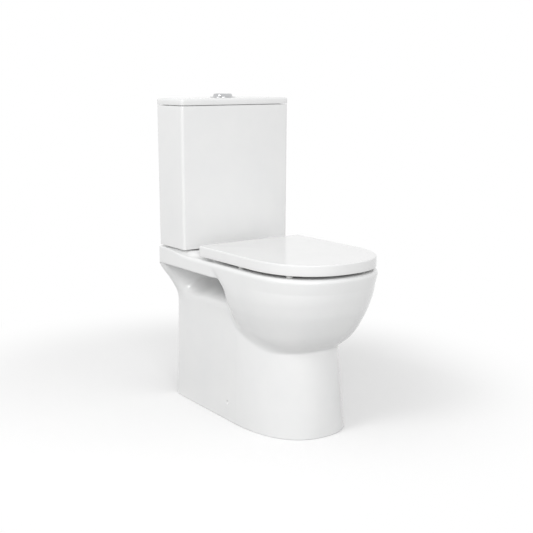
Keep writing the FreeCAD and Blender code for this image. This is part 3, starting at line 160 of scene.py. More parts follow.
def middle_of(low: Vector, high: Vector) -> tuple[float, float]:
    """Where a box's upright axis stands."""
    return (low.x + high.x) / 2.0, (low.y + high.y) / 2.0


# Mesh helpers

def make_object(name: str, bm: bmesh.types.BMesh, crisp: float = CRISP) -> bpy.types.Object:
    """Makes a linked object of gathered faces, shaded smooth, and frees them.

    Args:
        name: the object's name.
        bm: the faces.
        crisp: edges sharper than this angle stay crisp.

    Returns:
        The object.
    """
    mesh = bpy.data.meshes.new(name)
    bm.to_mesh(mesh)
    bm.free()
    mesh.polygons.foreach_set("use_smooth", [True] * len(mesh.polygons))
    mesh.set_sharp_from_angle(angle=crisp)
    obj = bpy.data.objects.new(name, mesh)
    bpy.context.scene.collection.objects.link(obj)
    return obj


class MeshParts:
    """Gathers point grids and flat fills, then welds them into one mesh."""

    def __init__(self) -> None:
        """Starts with nothing gathered."""
        self.points: list[np.ndarray] = []
        self.faces: list[np.ndarray] = []
        self.fills: list[list[int]] = []
        self.count = 0

    def grid(self, points: np.ndarray, closed: bool = False) -> None:
        """Adds quads over a grid of points.

        Args:
            points: rows by columns by 3.
            closed: whether the last column joins the first.
        """
        rows, cols = points.shape[:2]
        index = np.arange(rows * cols).reshape(rows, cols) + self.count
        if closed:
            index = np.concatenate([index, index[:, :1]], axis=1)
        quads = np.stack([index[:-1, :-1], index[:-1, 1:], index[1:, 1:], index[1:, :-1]], axis=-1)
        self.points.append(points.reshape(-1, 3))
        self.faces.append(quads.reshape(-1, 4))
        self.count += rows * cols

    def fill(self, loop: np.ndarray) -> None:
        """Adds one flat face.

        Args:
            loop: the points round it.
        """
        self.fills.append(list(range(self.count, self.count + len(loop))))
        self.points.append(loop)
        self.count += len(loop)

    def mirrored(self) -> "MeshParts":
        """Adds the mirror image across the middle plane x = 0.

        Returns:
            These parts.
        """
        points = [p * np.array([-1.0, 1.0, 1.0]) for p in self.points]
        faces = [f[:, ::-1] + self.count for f in self.faces]
        fills = [[i + self.count for i in reversed(loop)] for loop in self.fills]
        self.points += points
        self.faces += faces
        self.fills += fills
        self.count *= 2
        return self

    def build(self, name: str, crisp: float = CRISP) -> bpy.types.Object:
        """Makes the object: welds doubles, drops empty faces and turns the faces outwards.

        Args:
            name: the object's name.
            crisp: edges sharper than this angle stay crisp.

        Returns:
            The finished object, linked to the scene.
        """
        loose = bpy.data.meshes.new(name + "_loose")
        faces = [quad for part in self.faces for quad in part.tolist()] + self.fills
        loose.from_pydata(np.concatenate(self.points).tolist(), [], faces)
        bm = bmesh.new()
        bm.from_mesh(loose)
        bpy.data.meshes.remove(loose)
        bmesh.ops.remove_doubles(bm, verts=bm.verts, dist=MERGE)
        bmesh.ops.dissolve_degenerate(bm, edges=bm.edges, dist=MERGE / 2.0)
        bmesh.ops.recalc_face_normals(bm, faces=bm.faces)
        return make_object(name, bm, crisp)


def tube(name: str, grid: np.ndarray, *ends: np.ndarray) -> bpy.types.Object:
    """One piece from a grid whose rows close on themselves.

    Args:
        name: the object's name.
        grid: rows by columns by 3.
        ends: the loops that a flat face closes.

    Returns:
        The piece.
    """
    parts = MeshParts()
    parts.grid(grid, closed=True)
    for loop in ends:
        parts.fill(loop)
    return parts.build(name)


def join(name: str, objects: list[bpy.types.Object]) -> bpy.types.Object:
    """Puts several finished objects into one mesh and removes them.

    Args:
        name: the new object's name.
        objects: what to join.

    Returns:
        The joined object.
    """
    bm = bmesh.new()
    for obj in objects:
        bm.from_mesh(obj.data)
        bpy.data.objects.remove(obj)
    return make_object(name, bm)


def lathe(profile: np.ndarray, centre: tuple[float, float], name: str, steps: int) -> bpy.types.Object:
    """Turns a profile of (radius, height) points about an upright axis.

    Args:
        profile: the outline, closed on itself or starting and ending on the axis.
        centre: where the axis stands, as (x, y).
        name: the object's name.
        steps: points round the turn.

    Returns:
        The turned object.
    """
    angle = np.linspace(0.0, 2.0 * np.pi, steps, endpoint=False)
    radius, height = profile[:, :1], profile[:, 1:]
    return tube(name, np.stack([centre[0] + radius * np.cos(angle), centre[1] + radius * np.sin(angle),
                                height + 0.0 * angle], axis=-1))


def lugs(outline: np.ndarray, near: float, far: float, bevel: float = 0.0006) -> list[bpy.types.Object]:
    """A pair of hinge lugs: a flat outline carried along X on both sides, with small bevels at its ends.

    Args:
        outline: the (y, z) points in order.
        near: where a lug starts, from the middle plane.
        far: where it ends.
        bevel: size of the end bevels.

    Returns:
        The lug at +X and the one at -X.
    """
    away = outline - outline.mean(axis=0)
    small = outline.mean(axis=0) + away * (1.0 - bevel / np.abs(away).max())
    pair = []
    for start, end in ((near, far), (-far, -near)):
        rows = ((start, small), (start + bevel, outline), (end - bevel, outline), (end, small))
        grid = np.stack([np.concatenate([np.full((len(loop), 1), x), loop], axis=1) for x, loop in rows])
        pair.append(tube("lug", grid, grid[0], grid[-1][::-1]))
    return pair


# Finishes

PLAIN_STRETCH, BRUSHED_STRETCH = (1.0, 1.0, 1.0), (1.0, 1.0, 9.0)
CLOUD_RANGE = (0.30, 0.70)
LEAST_ROUGHNESS = 0.02
# Each noise's output, its detail and its roughness.
NOISES = (("Grain", 3.0, 0.5), ("Broad", 4.0, 0.55))


@dataclass(frozen=True)
class Finish:
    """How one material of the suite looks; colours are linear, sizes are metres."""

    colour: tuple[float, float, float]
    second: tuple[float, float, float]
    roughness: float
    spread: float
    grain: float
    broad: float
    bump: float
    relief: float
    metallic: float = 0.0
    coat: float = 0.0
    coat_roughness: float = 0.03
    ior: float = 1.5
    brushed: bool = False


class Slot(Enum):
    """The record's material slots and their finishes."""

    CERAMIC = ("ceramic", Finish(
        (0.895, 0.897, 0.893), (0.868, 0.872, 0.872), 0.16, 0.05, 0.0060, 0.090, 0.10, 0.00012,
        coat=0.3, ior=1.52))
    SEAT_PLASTIC = ("seat_plastic", Finish(
        (0.885, 0.885, 0.882), (0.865, 0.866, 0.866), 0.14, 0.05, 0.0035, 0.060, 0.08, 0.00006,
        coat=0.15, coat_roughness=0.05, ior=1.47))
    CHROME = ("chrome", Finish(
        (0.60, 0.605, 0.615), (0.54, 0.545, 0.555), 0.07, 0.06, 0.0012, 0.020, 0.06, 0.00003, metallic=1.0))
    WHITE_PLASTIC = ("white_plastic", Finish(
        (0.80, 0.80, 0.785), (0.72, 0.72, 0.70), 0.38, 0.10, 0.0008, 0.030, 0.20, 0.00005))
    BLUE_PLASTIC = ("blue_plastic", Finish(
        (0.042, 0.17, 0.45), (0.030, 0.13, 0.37), 0.36, 0.10, 0.0008, 0.020, 0.20, 0.00005))
    SOFT_RUBBER = ("soft_rubber", Finish(
        (0.62, 0.62, 0.61), (0.52, 0.52, 0.51), 0.62, 0.12, 0.0006, 0.012, 0.30, 0.00008))
    BLACK_RUBBER = ("black_rubber", Finish(
        (0.014, 0.014, 0.015), (0.028, 0.028, 0.029), 0.70, 0.14, 0.0006, 0.012, 0.35, 0.00010))
    STEEL = ("steel", Finish(
        (0.56, 0.56, 0.57), (0.46, 0.46, 0.47), 0.30, 0.12, 0.0007, 0.015, 0.20, 0.00004,
        metallic=1.0, brushed=True))
    DAMPER_PLASTIC = ("damper_plastic", Finish(
        (0.075, 0.076, 0.080), (0.050, 0.051, 0.055), 0.42, 0.10, 0.0006, 0.010, 0.25, 0.00005))

    def __init__(self, slot: str, finish: Finish) -> None:
        """Keeps the slot's name and its finish."""
        self.slot = slot
        self.finish = finish


def feed(tree: bpy.types.NodeTree, node: bpy.types.Node, given: dict[str | int, object]) -> None:
    """Gives a node its inputs: a socket is linked, and a constant is set.

    Args:
        tree: the node tree of the node.
        node: the node.
        given: the socket or constant for each input by name or number.
    """
    for name, value in given.items():
        if isinstance(value, bpy.types.NodeSocket):
            tree.links.new(value, node.inputs[name])
        else:
            node.inputs[name].default_value = value


def add_node(tree: bpy.types.NodeTree, kind: str, given: dict[str | int, object] | None = None,
             **settings: object) -> bpy.types.Node:
    """Adds one node.

    Args:
        tree: the node tree to add to.
        kind: the node's type.
        given: a socket or a constant for each input that gets one.
        settings: the node's own settings, made before its inputs.

    Returns:
        The node.
    """
    node = tree.nodes.new(kind)
    for name, value in settings.items():
        setattr(node, name, value)
    feed(tree, node, given or {})
    return node


def surface_group() -> bpy.types.NodeTree:
    """The shared node group: fine grain and broad cloudiness at given sizes, from object coordinates.

    Returns:
        The group.
    """
    group = bpy.data.node_groups.new("surface_variation", "ShaderNodeTree")
    group.interface.new_socket("Coordinates", in_out="INPUT", socket_type="NodeSocketVector")
    source, result = add_node(group, "NodeGroupInput"), add_node(group, "NodeGroupOutput")
    for name, detail, rough in NOISES:
        group.interface.new_socket(name + " Scale", in_out="INPUT", socket_type="NodeSocketFloat")
        group.interface.new_socket(name, in_out="OUTPUT", socket_type="NodeSocketFloat")
        noise = add_node(group, "ShaderNodeTexNoise", {
            "Detail": detail, "Roughness": rough, "Vector": source.outputs["Coordinates"],
            "Scale": source.outputs[name + " Scale"]})
        feed(group, result, {name: noise.outputs["Fac"]})
    return group


def make_material(slot: Slot, group: bpy.types.NodeTree) -> bpy.types.Material:
    """Builds one finish: broad cloudiness mixes its colours, and fine grain varies its gloss and relief.

    Args:
        slot: the record's slot with its finish.
        group: the shared surface group.

    Returns:
        The material.
    """
    look = slot.finish
    material = bpy.data.materials.new(slot.slot + "_finish")
    material.use_nodes = True
    tree = material.node_tree
    place = add_node(tree, "ShaderNodeTexCoord")
    stretch = add_node(tree, "ShaderNodeMapping", {
        "Vector": place.outputs["Object"],
        "Scale": BRUSHED_STRETCH if look.brushed else PLAIN_STRETCH})
    surface = add_node(tree, "ShaderNodeGroup", node_tree=group)
    feed(tree, surface, {"Coordinates": stretch.outputs["Vector"], "Grain Scale": 1.0 / look.grain,
                         "Broad Scale": 1.0 / look.broad})
    contrast = add_node(tree, "ShaderNodeMapRange", {
        "Value": surface.outputs["Broad"], "From Min": CLOUD_RANGE[0], "From Max": CLOUD_RANGE[1]})
    mix = add_node(tree, "ShaderNodeMix", data_type="RGBA")
    feed(tree, mix, {"Factor": contrast.outputs["Result"], "A": (*look.colour, 1.0),
                     "B": (*look.second, 1.0)})
    gloss = add_node(tree, "ShaderNodeMapRange", {
        "Value": surface.outputs["Grain"], "To Min": max(look.roughness - look.spread, LEAST_ROUGHNESS),
        "To Max": look.roughness + look.spread})
    bump = add_node(tree, "ShaderNodeBump", {
        "Strength": look.bump, "Distance": look.relief, "Height": surface.outputs["Grain"]})
    feed(tree, tree.nodes["Principled BSDF"], {
        "Base Color": mix.outputs["Result"], "Roughness": gloss.outputs["Result"],
        "Normal": bump.outputs["Normal"], "Metallic": look.metallic, "IOR": look.ior,
        "Coat Weight": look.coat, "Coat Roughness": look.coat_roughness})
    return material


@dataclass(frozen=True)
class Piece:
    """One finished mesh, the body it rides on, the CAD nodes it stands for and its finish.

    A spring has the joint that presses it, and how far that goes.
    """

    obj: bpy.types.Object
    body: str
    nodes: tuple[str, ...]
    slot: Slot
    pressed_by: str = ""
    travel: float = 0.0

    def dress(self, materials: dict[str, bpy.types.Material]) -> None:
        """Gives the piece its finish and puts it on its body, in the place of its nodes.

        Args:
            materials: the finished materials by slot.
        """
        obj = self.obj
        obj.data.materials.append(materials[self.slot.slot])
        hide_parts(*self.nodes)
        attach(obj, self.body)
        if self.pressed_by:
            low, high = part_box(self.nodes[0])
            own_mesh(obj)


# The pan

@dataclass
class Pan:
    """The pan: its sizes, its form as functions of place, and its skin, built as one half and mirrored.

    The skin's points lie on rays that leave the middle plane. The front rays fan from one origin, from
    straight ahead round to the back quarter. The rear rays slide towards the wall while they turn to point
    straight sideways. A curve is read at heights, unless its comment says otherwise. A pair of numbers says
    where a change starts and where it ends, or the least and the most.
    """

    half: float = RIM_HIGH.x
    front: float = -RIM_LOW.y
    shelf_top: float = RIM_HIGH.z
    rim_drop: float = 0.011
    ramp: tuple[float, float] = (0.146, 0.186)
    underside: float = 0.388
    edge_fall: float = 0.001
    edge_ramp: tuple[float, float] = (0.0, 0.160)
    edge_radius: float = 0.010
    edge_tight_share: float = 0.40
    edge_widens: tuple[float, float] = (0.060, 0.180)
    lower_edge: float = 0.005
    floor_edge: float = 0.0014
    wall: float = 0.012
    least_reach: float = 0.001
    lap: float = 0.002
    corner: float = 0.004
    crisp: float = math.radians(50.0)
    # The rays: where they start, how they turn, and how many there are.
    fan_centre: float = 0.400
    fan_back: float = math.radians(40.0)
    fan_quarter: float = math.radians(10.0)
    far: float = 0.45
    halvings: int = 44
    front_rays: int = 80
    quarter_rays: int = 37
    rear_rays: int = 57
    rear_ease: float = 1.5
    hole_rays: int = 23
    hole_rays_share: float = 0.030
    corner_rays: int = 11
    wall_rays: int = 27
    # The foot: its side's half width by depth, and the shares of it that the back and the front have.
    foot_shoulder: float = 0.3214
    foot_front: float = 0.5294
    foot_base: Curve = Curve((0.0, 0.16, 0.3214), (0.1205, 0.1278, 0.1342))
    foot_rear: Curve = Curve(
        (0.0, 0.010, 0.127, 0.215, 0.273, 0.388), (1.0, 0.988, 0.962, 0.945, 0.936, 0.930))
    foot_fore: Curve = Curve(
        (0.0, 0.078, 0.163, 0.233, 0.283, 0.388), (1.0, 0.986, 0.967, 0.944, 0.910, 0.860))
    flare: Curve = Curve((0.278, 0.290, 0.302, 0.315, 0.327, 0.339, 0.352, 0.3645, 0.377, 0.390),
                         (0.0, 0.0015, 0.0045, 0.0110, 0.0178, 0.0255, 0.0350, 0.0450, 0.0537, 0.0610))
    flare_end: tuple[float, float] = (0.0050, 0.060)
    pocket: Curve = Curve((0.286, 0.295, 0.305, 0.316, 0.328, 0.342, 0.362, 0.388),
                          (0.0, 0.0018, 0.0090, 0.0270, 0.0500, 0.0670, 0.0790, 0.0840))
    pocket_start: tuple[float, float] = (0.0040, 0.100)
    pocket_rise: float = 0.010
    pocket_rises: tuple[float, float] = (0.05, 0.16)
    shoulder_share: Curve = Curve((0.0, 0.163, 0.283, 0.388), (1.0, 0.992, 0.978, 0.960))
    nose_share: Curve = Curve(
        (0.0, 0.078, 0.163, 0.233, 0.283, 0.388), (1.0, 0.991, 0.981, 0.971, 0.955, 0.90))
    foot_power: Curve = Curve((0.0, 0.03, 0.12, 0.22), (2.42, 2.34, 2.20, 2.12))
    # The belly: its share of the half width, its front's inset, its rear's depth and its two powers.
    crease: float = 0.022
    belly_axis: float = 0.287
    belly_half: Curve = Curve(
        (0.205, 0.230, 0.246, 0.261, 0.280, 0.300, 0.324, 0.345, 0.359, 0.373, 0.388, 0.412),
        (0.46, 0.630, 0.722, 0.785, 0.838, 0.888, 0.938, 0.967, 0.981, 0.989, 0.994, 0.998))
    belly_inset: Curve = Curve(
        (0.205, 0.226, 0.235, 0.252, 0.272, 0.292, 0.312, 0.332, 0.352, 0.372, 0.392, 0.412),
        (0.190, 0.108, 0.090, 0.069, 0.051, 0.038, 0.027, 0.018, 0.012, 0.007, 0.004, 0.001))
    belly_rear: Curve = Curve(
        (0.205, 0.230, 0.245, 0.259, 0.275, 0.300, 0.323, 0.346, 0.362, 0.376, 0.388),
        (0.380, 0.340, 0.310, 0.290, 0.277, 0.268, 0.269, 0.273, 0.2755, 0.2745, 0.270))
    rear_power: Curve = Curve((0.230, 0.300, 0.326, 0.346, 0.365, 0.388), (2.8, 3.2, 3.8, 4.4, 5.4, 9.0))
    front_power: Curve = Curve((0.230, 0.290, 0.335, 0.365, 0.388), (2.32, 2.24, 2.21, 2.26, 2.31))
    # The bowl: shares of its mouth's three reaches, by the share of its height, and its powers.
    opening_centre: float = 0.397
    opening_half: float = 0.128
    opening_front: float = 0.180
    opening_rear: float = 0.152
    opening_edge: float = 0.006
    bowl_floor: float = 0.140
    bowl_dish: float = 0.006
    bowl_wall: float = 0.007
    inner_bowl_wall: float = 0.0066
    bowl_crease: float = 0.012
    bowl_width: Curve = Curve((0.0, 0.06, 0.17, 0.29, 0.42, 0.56, 0.70, 0.84, 0.925, 1.0),
                              (0.240, 0.305, 0.395, 0.570, 0.810, 1.020, 1.130, 1.130, 1.018, 1.0))
    bowl_fore: Curve = Curve((0.0, 0.06, 0.17, 0.29, 0.42, 0.56, 0.70, 0.84, 0.925, 1.0),
                             (0.195, 0.245, 0.345, 0.535, 0.745, 0.920, 1.040, 1.055, 1.010, 1.0))
    bowl_aft: Curve = Curve((0.0, 0.06, 0.17, 0.29, 0.42, 0.56, 0.70, 0.84, 0.925, 1.0),
                            (0.210, 0.265, 0.360, 0.500, 0.660, 0.800, 0.885, 0.950, 0.990, 1.0))
    fore_power: float = 2.1
    aft_power: float = 2.0
    aft_power_fall: float = 0.25
    aft_power_shares: tuple[float, float] = (0.98, 0.84)
    trap_height: float = 0.176
    trap_radius: float = 0.030
    trap_depth: float = 0.075
    trap_edge: tuple[float, float] = (0.80, 1.04)
    # The shelf's hollow: its room, and where the rim hangs free of the belly beside it.
    hollow_front: float = 0.281
    hollow_back: float = 0.228
    shelf_thickness: float = 0.014
    sheet_columns: int = 14
    free_gap: float = 0.007
    free_gap_growth: float = 0.019
    free_gap_grows: tuple[float, float] = (0.10, 0.20)
    free_shares: tuple[float, float] = (0.15, 1.0)
    free_end: tuple[float, float] = (0.300, 0.330)
    free_least: float = 0.02
    # The side fixing's hole.
    hole_depth: float = 0.276
    hole_height: float = 0.049
    hole_radius: float = 0.0045
    hole_sink: float = 0.014
    hole_edge: tuple[float, float] = (0.92, 1.12)
    hole_side: float = 0.05
    # Heights of the foot's rows: two at the floor, then start, end and count. hole_rows is about the hole.
    floor_rows: tuple[float, float] = (0.0, 0.0012)
    wide_rows: tuple[float, float, int] = (0.004, 0.196, 18)
    hole_rows: tuple[float, float, int] = (-0.0075, 0.0075, 17)
    hole_room: float = 0.009
    belly_rows_start: float = 0.2
    belly_rows: int = 62
    # Rows of the rim's side, the deck and the bowl, and the powers that crowd them.
    side_rows: int = 15
    side_ease: float = 1.4
    side_powers: tuple[float, float] = (1.2, 5.0)
    side_probe: float = 0.003
    least_gap: float = 1e-4
    roll_rows: int = 11
    deck_rows: int = 34
    deck_ease: float = 1.3
    deck_level: tuple[float, float] = (-0.004, 0.030)
    mouth_rows: int = 8
    mouth_ease: float = 0.8
    bowl_rows: int = 42
    dish_rows: int = 6
    # The inside of the foot, and the bowl's own wall in it.
    inner_start: float = 0.02
    inner_rows: int = 15
    inner_half: float = 0.118
    least_way: float = 1e-6
    hanging_rays: int = 60
    hanging_rows: int = 24

    def __post_init__(self) -> None:
        """Lays out the rays, and how far the rim hangs free of the belly along them."""
        self.parts = MeshParts()
        quarter, beside = self.fan_back - self.fan_quarter, self.hole_rays_share
        self.fan = np.concatenate([np.linspace(-QUARTER_TURN, quarter, self.front_rays),
                                   np.linspace(quarter, self.fan_back, self.quarter_rays)[1:]])
        slide = np.linspace(0.0, 1.0, self.rear_rays)[1:] ** self.rear_ease
        near_hole = self.slide_to_hole() + np.linspace(-beside, beside, self.hole_rays)
        clear = (slide < near_hole[0]) | (slide > near_hole[-1])
        slide = np.sort(np.concatenate([slide[clear], near_hole]))
        slid = (self.fan_centre - self.corner) * slide
        self.origin = -self.fan_centre + np.concatenate([0.0 * self.fan, slid])
        angle = np.concatenate([self.fan, self.fan_back * (1.0 - slide)])
        self.dx, self.dy = np.cos(angle), np.sin(angle)
        self.rim_reach = self.reach(self.outline_value)
        self.rim_depth = -self.at(self.rim_reach, 0.0)[:, 1]
        self.gap = self.rim_reach - self.union(self.underside)
        width = self.free_gap + self.free_gap_growth * smoothstep(self.rim_depth, *self.free_gap_grows)
        behind_end = 1.0 - smoothstep(self.rim_depth, *self.free_end)
        self.free = smoothstep(self.gap / width, *self.free_shares) * behind_end
        self.first_free = int(np.argmax(self.free > self.free_least))

    @property
    def rim_top(self) -> float:
        """Height of the rim's flat top."""
        return self.shelf_top - self.rim_drop

    def share_of_bowl(self, z: float) -> float:
        """A height as its share of the bowl's."""
        return (z - self.bowl_floor) / (self.rim_top - self.bowl_floor)

    def deck_height(self, depth: np.ndarray) -> np.ndarray:
        """Height of the deck: the shelf's level, a soft ramp, then the rim's level."""
        return self.shelf_top - self.rim_drop * smoothstep(depth, *self.ramp)

    def edge_height(self, depth: np.ndarray) -> np.ndarray:
        """Height of the deck's outer edge, which falls away earlier than the deck between its sides."""
        fall = (self.rim_drop - self.edge_fall) * smoothstep(depth, *self.edge_ramp)
        return self.shelf_top - self.edge_fall - fall

    def edge_roll(self, depth: np.ndarray) -> np.ndarray:
        """Radius of the deck's rolled outer edge: tight beside the tank, then as wide as round the rim."""
        tight = self.edge_tight_share
        return self.edge_radius * (tight + (1.0 - tight) * smoothstep(depth, *self.edge_widens))

    def foot_side(self, depth: float | np.ndarray, z: float) -> np.ndarray:
        """Half width of the foot behind its shoulder.

        The base width by depth, times a share by height that goes from the back's to the front's, plus the
        flare at the wall, less the hand pocket, which starts higher up further forwards.

        Args:
            depth: the depths, up to the shoulder's.
            z: the height.

        Returns:
            The half width at each depth.
        """
        along = np.clip(depth / self.foot_shoulder, 0.0, 1.0)
        side = self.foot_base(depth) * (self.foot_rear(z) * (1.0 - along) + self.foot_fore(z) * along)
        rise = self.pocket_rise * smoothstep(depth, *self.pocket_rises)
        return (side + self.flare(z) * (1.0 - smoothstep(depth, *self.flare_end))
                - self.pocket(z - rise) * smoothstep(depth, *self.pocket_start))

    def foot_value(self, x: np.ndarray, y: np.ndarray, z: float) -> np.ndarray:
        """The foot's section: straight behind the shoulder, and a superellipse from there to the nose.

        Args:
            x: the places across.
            y: the places along.
            z: the section's height.

        Returns:
            The value at each place, below 1 inside.
        """
        shoulder = self.foot_shoulder * self.shoulder_share(z)
        nose = self.foot_front * self.nose_share(z)
        past = np.clip((-y - shoulder) / (nose - shoulder), 0.0, None)
        return superellipse(x / self.foot_side(np.minimum(-y, shoulder), z), past, self.foot_power(z))

    def belly_value(self, x: np.ndarray, y: np.ndarray, z: float) -> np.ndarray:
        """The belly's section: two superellipses that meet at its widest, one for each end.

        Args:
            x: the places across.
            y: the places along.
            z: the section's height.

        Returns:
            The value at each place, below 1 inside.
        """
        rear, nose = self.belly_rear(z), self.front - self.belly_inset(z)
        centre = rear + (nose - rear) * (RIM_SHOULDER - self.belly_axis) / (self.front - self.belly_axis)
        ahead = -y > centre
        reach = np.where(ahead, nose - centre, centre - rear)
        return superellipse(x / (self.half * self.belly_half(z)), (-y - centre) / reach,
                            np.where(ahead, self.front_power(z), self.rear_power(z)))

    def outline_value(self, x: np.ndarray, y: np.ndarray) -> np.ndarray:
        """Below 1 inside the rim's D."""
        past = np.clip((-y - RIM_SHOULDER) / (self.front - RIM_SHOULDER), 0.0, None)
        return superellipse(x / self.half, past, RIM_ROUNDNESS)

    def opening_size(self, across: np.ndarray, along: np.ndarray, height: np.ndarray,
                     wall: float) -> np.ndarray:
        """A step from the bowl's axis, 1 where it ends on the bowl's section with a wall of that thickness.

        Args:
            across: the step along X.
            along: the step along Y.
            height: the section's share of the bowl's height.
            wall: the wall's thickness.

        Returns:
            The step's size.
        """
        ahead = along < 0
        reach = np.where(ahead, self.opening_front * self.bowl_fore(height),
                         self.opening_rear * self.bowl_aft(height))
        aft_power = self.aft_power - self.aft_power_fall * smoothstep(height, *self.aft_power_shares)
        return superellipse(across / (self.opening_half * self.bowl_width(height) + wall),
                            along / (reach + wall), np.where(ahead, self.fore_power, aft_power))

    def opening(self, angle: np.ndarray, height: float, wall: float = 0.0) -> np.ndarray:
        """Points of the bowl's wall.

        Args:
            angle: their angles about the bowl's axis.
            height: the share of the bowl's height.
            wall: the wall's thickness, for points on its outside.

        Returns:
            Points by 2.
        """
        c, s = np.cos(angle), np.sin(angle)
        radius = 1.0 / self.opening_size(c, s, height, wall)
        return np.stack([radius * c, -self.opening_centre + radius * s], axis=-1)

    def bowl_value(self, x: np.ndarray, y: np.ndarray, z: float, wall: float) -> np.ndarray:
        """Below 1 inside the bowl with its wall, at height z."""
        return self.opening_size(x, y + self.opening_centre, np.clip(self.share_of_bowl(z), 0.0, 1.0), wall)

    def slide_to_hole(self) -> float:
        """Finds the rear ray that leaves the foot at the fixing's hole, among many tries.

        Returns:
            The share of the slide at which that ray starts.
        """
        tries = 2001
        half = float(self.foot_side(self.hole_depth, self.hole_height))
        share = np.linspace(0.0, 1.0, tries)
        origin = self.fan_centre * (1.0 - share) + self.corner * share
        miss = origin - half * np.tan(self.fan_back * (1.0 - share)) - self.hole_depth
        return float(share[np.argmin(np.abs(miss))])

    def reach(self, value: Callable[..., np.ndarray], *more: float) -> np.ndarray:
        """How far each ray goes before a value rises through 1, found by halving the span again and again.

        Args:
            value: gives the value at (x, y, *more), under 1 inside.
            more: what value takes after x and y.

        Returns:
            The distances, 0 where a ray starts outside.
        """
        low, high = np.zeros_like(self.origin), np.full(self.origin.shape, self.far)
        outside = value(low, self.origin, *more) >= 1.0
        for _ in range(self.halvings):
            middle = (low + high) / 2.0
            inside = value(self.dx * middle, self.origin + self.dy * middle, *more) < 1.0
            low, high = np.where(inside, middle, low), np.where(inside, high, middle)
        return np.where(outside, 0.0, (low + high) / 2.0)

    def union(self, z: float) -> np.ndarray:
        """How far each ray goes to leave foot, belly and bowl together, their creases filleted."""
        both = soft_max(self.reach(self.foot_value, z), self.reach(self.belly_value, z), self.crease)
        return soft_max(both, self.bowl(z, self.bowl_wall), self.bowl_crease)

    def bowl(self, z: float, wall: float) -> np.ndarray:
        """How far each ray goes to leave the bowl with its wall, 0 where it starts outside."""
        return self.reach(self.bowl_value, z, wall) if z >= self.bowl_floor - wall else 0.0 * self.origin

    def to_bowl(self, points: np.ndarray, z: float) -> np.ndarray:
        """Where a ceiling that leaves points on the rays ends: at the bowl, or else at the middle plane."""
        reach = self.bowl(z, self.wall)
        return np.where(reach[:, None] > 0.0, self.at(reach, z), points * ONTO_MIDDLE)

    def at(self, reach: np.ndarray, z: float | np.ndarray) -> np.ndarray:
        """Points on the rays at a reach and a height."""
        return np.stack([self.dx * reach, self.origin + self.dy * reach, z + 0.0 * reach], axis=-1)

    def skin(self, z: float) -> np.ndarray:
        """The row of the outside at height z, drawn in a little where it stands on the floor."""
        return self.at(self.union(z) - (self.floor_edge if z == 0.0 else 0.0), z)

    def foot_skin(self) -> np.ndarray:
        """Rows of the outside from the floor to the shelf's underside, with the fixing's hole sunk in.

        Returns:
            Rows by rays by 3.
        """
        near_hole = self.hole_height + np.linspace(*self.hole_rows)
        wide = np.linspace(*self.wide_rows)
        wide = wide[np.abs(wide - self.hole_height) > self.hole_room]
        high = np.linspace(self.belly_rows_start, self.underside, self.belly_rows)
        rows = []
        for z in np.sort(np.concatenate([self.floor_rows, wide, near_hole, high])):
            reach = self.union(z)
            skin = self.at(reach, z)
            away = np.hypot(skin[:, 1] + self.hole_depth, z - self.hole_height) / self.hole_radius
            sink = self.hole_sink * (1.0 - smoothstep(away, *self.hole_edge))
            sunk = np.where(skin[:, 0] > self.hole_side, sink, 0.0)
            rows.append(self.at(reach - sunk - (self.floor_edge if z == 0.0 else 0.0), z))
        return np.stack(rows)

    def side_skin(self) -> np.ndarray:
        """Rows of the rim's side and its rolled top edge.

        Over the belly the side leaves it at the belly's own lean, and eases out to the rim. Where the rim
        hangs free it rises straight from a rounded lower edge.

        Returns:
            Rows by rays by 3.
        """
        below = self.rim_reach - self.union(self.underside - self.side_probe)
        lean = (below - self.gap) / self.side_probe
        roll = self.edge_roll(self.rim_depth)
        start, end = self.underside, self.edge_height(self.rim_depth) - roll
        power = np.clip(lean * (end - start) / np.maximum(self.gap, self.least_gap), *self.side_powers)
        rows = []
        for t in np.linspace(0.0, 1.0, self.side_rows) ** self.side_ease:
            z = start + (end - start) * t
            rise = np.clip((z - start) / self.lower_edge, 0.0, 1.0)
            under = self.lower_edge * (1.0 - np.sqrt(1.0 - (1.0 - rise) ** 2))
            inset = under * self.free + self.gap * (1.0 - t) ** power * (1.0 - self.free)
            rows.append(self.at(self.rim_reach - inset, z))
        for draw, drop in rolled(self.roll_rows, 1):
            rows.append(self.at(self.rim_reach - roll * draw, end + roll * (1.0 - drop)))
        return np.stack(rows)

    def round_corner(self, grid: np.ndarray) -> np.ndarray:
        """Carries a grid's rows round the corner at the wall.

        Args:
            grid: rows by columns by 3, its last column beside the corner.

        Returns:
            The columns round the corner, the first on the grid's last.
        """
        turn, last = np.linspace(0.0, QUARTER_TURN, self.corner_rays), grid[:, -1:]
        return np.stack([last[..., 0] - self.corner * (1.0 - np.cos(turn)),
                         last[..., 1] * (1.0 - np.sin(turn)), last[..., 2] + 0.0 * turn], axis=-1)

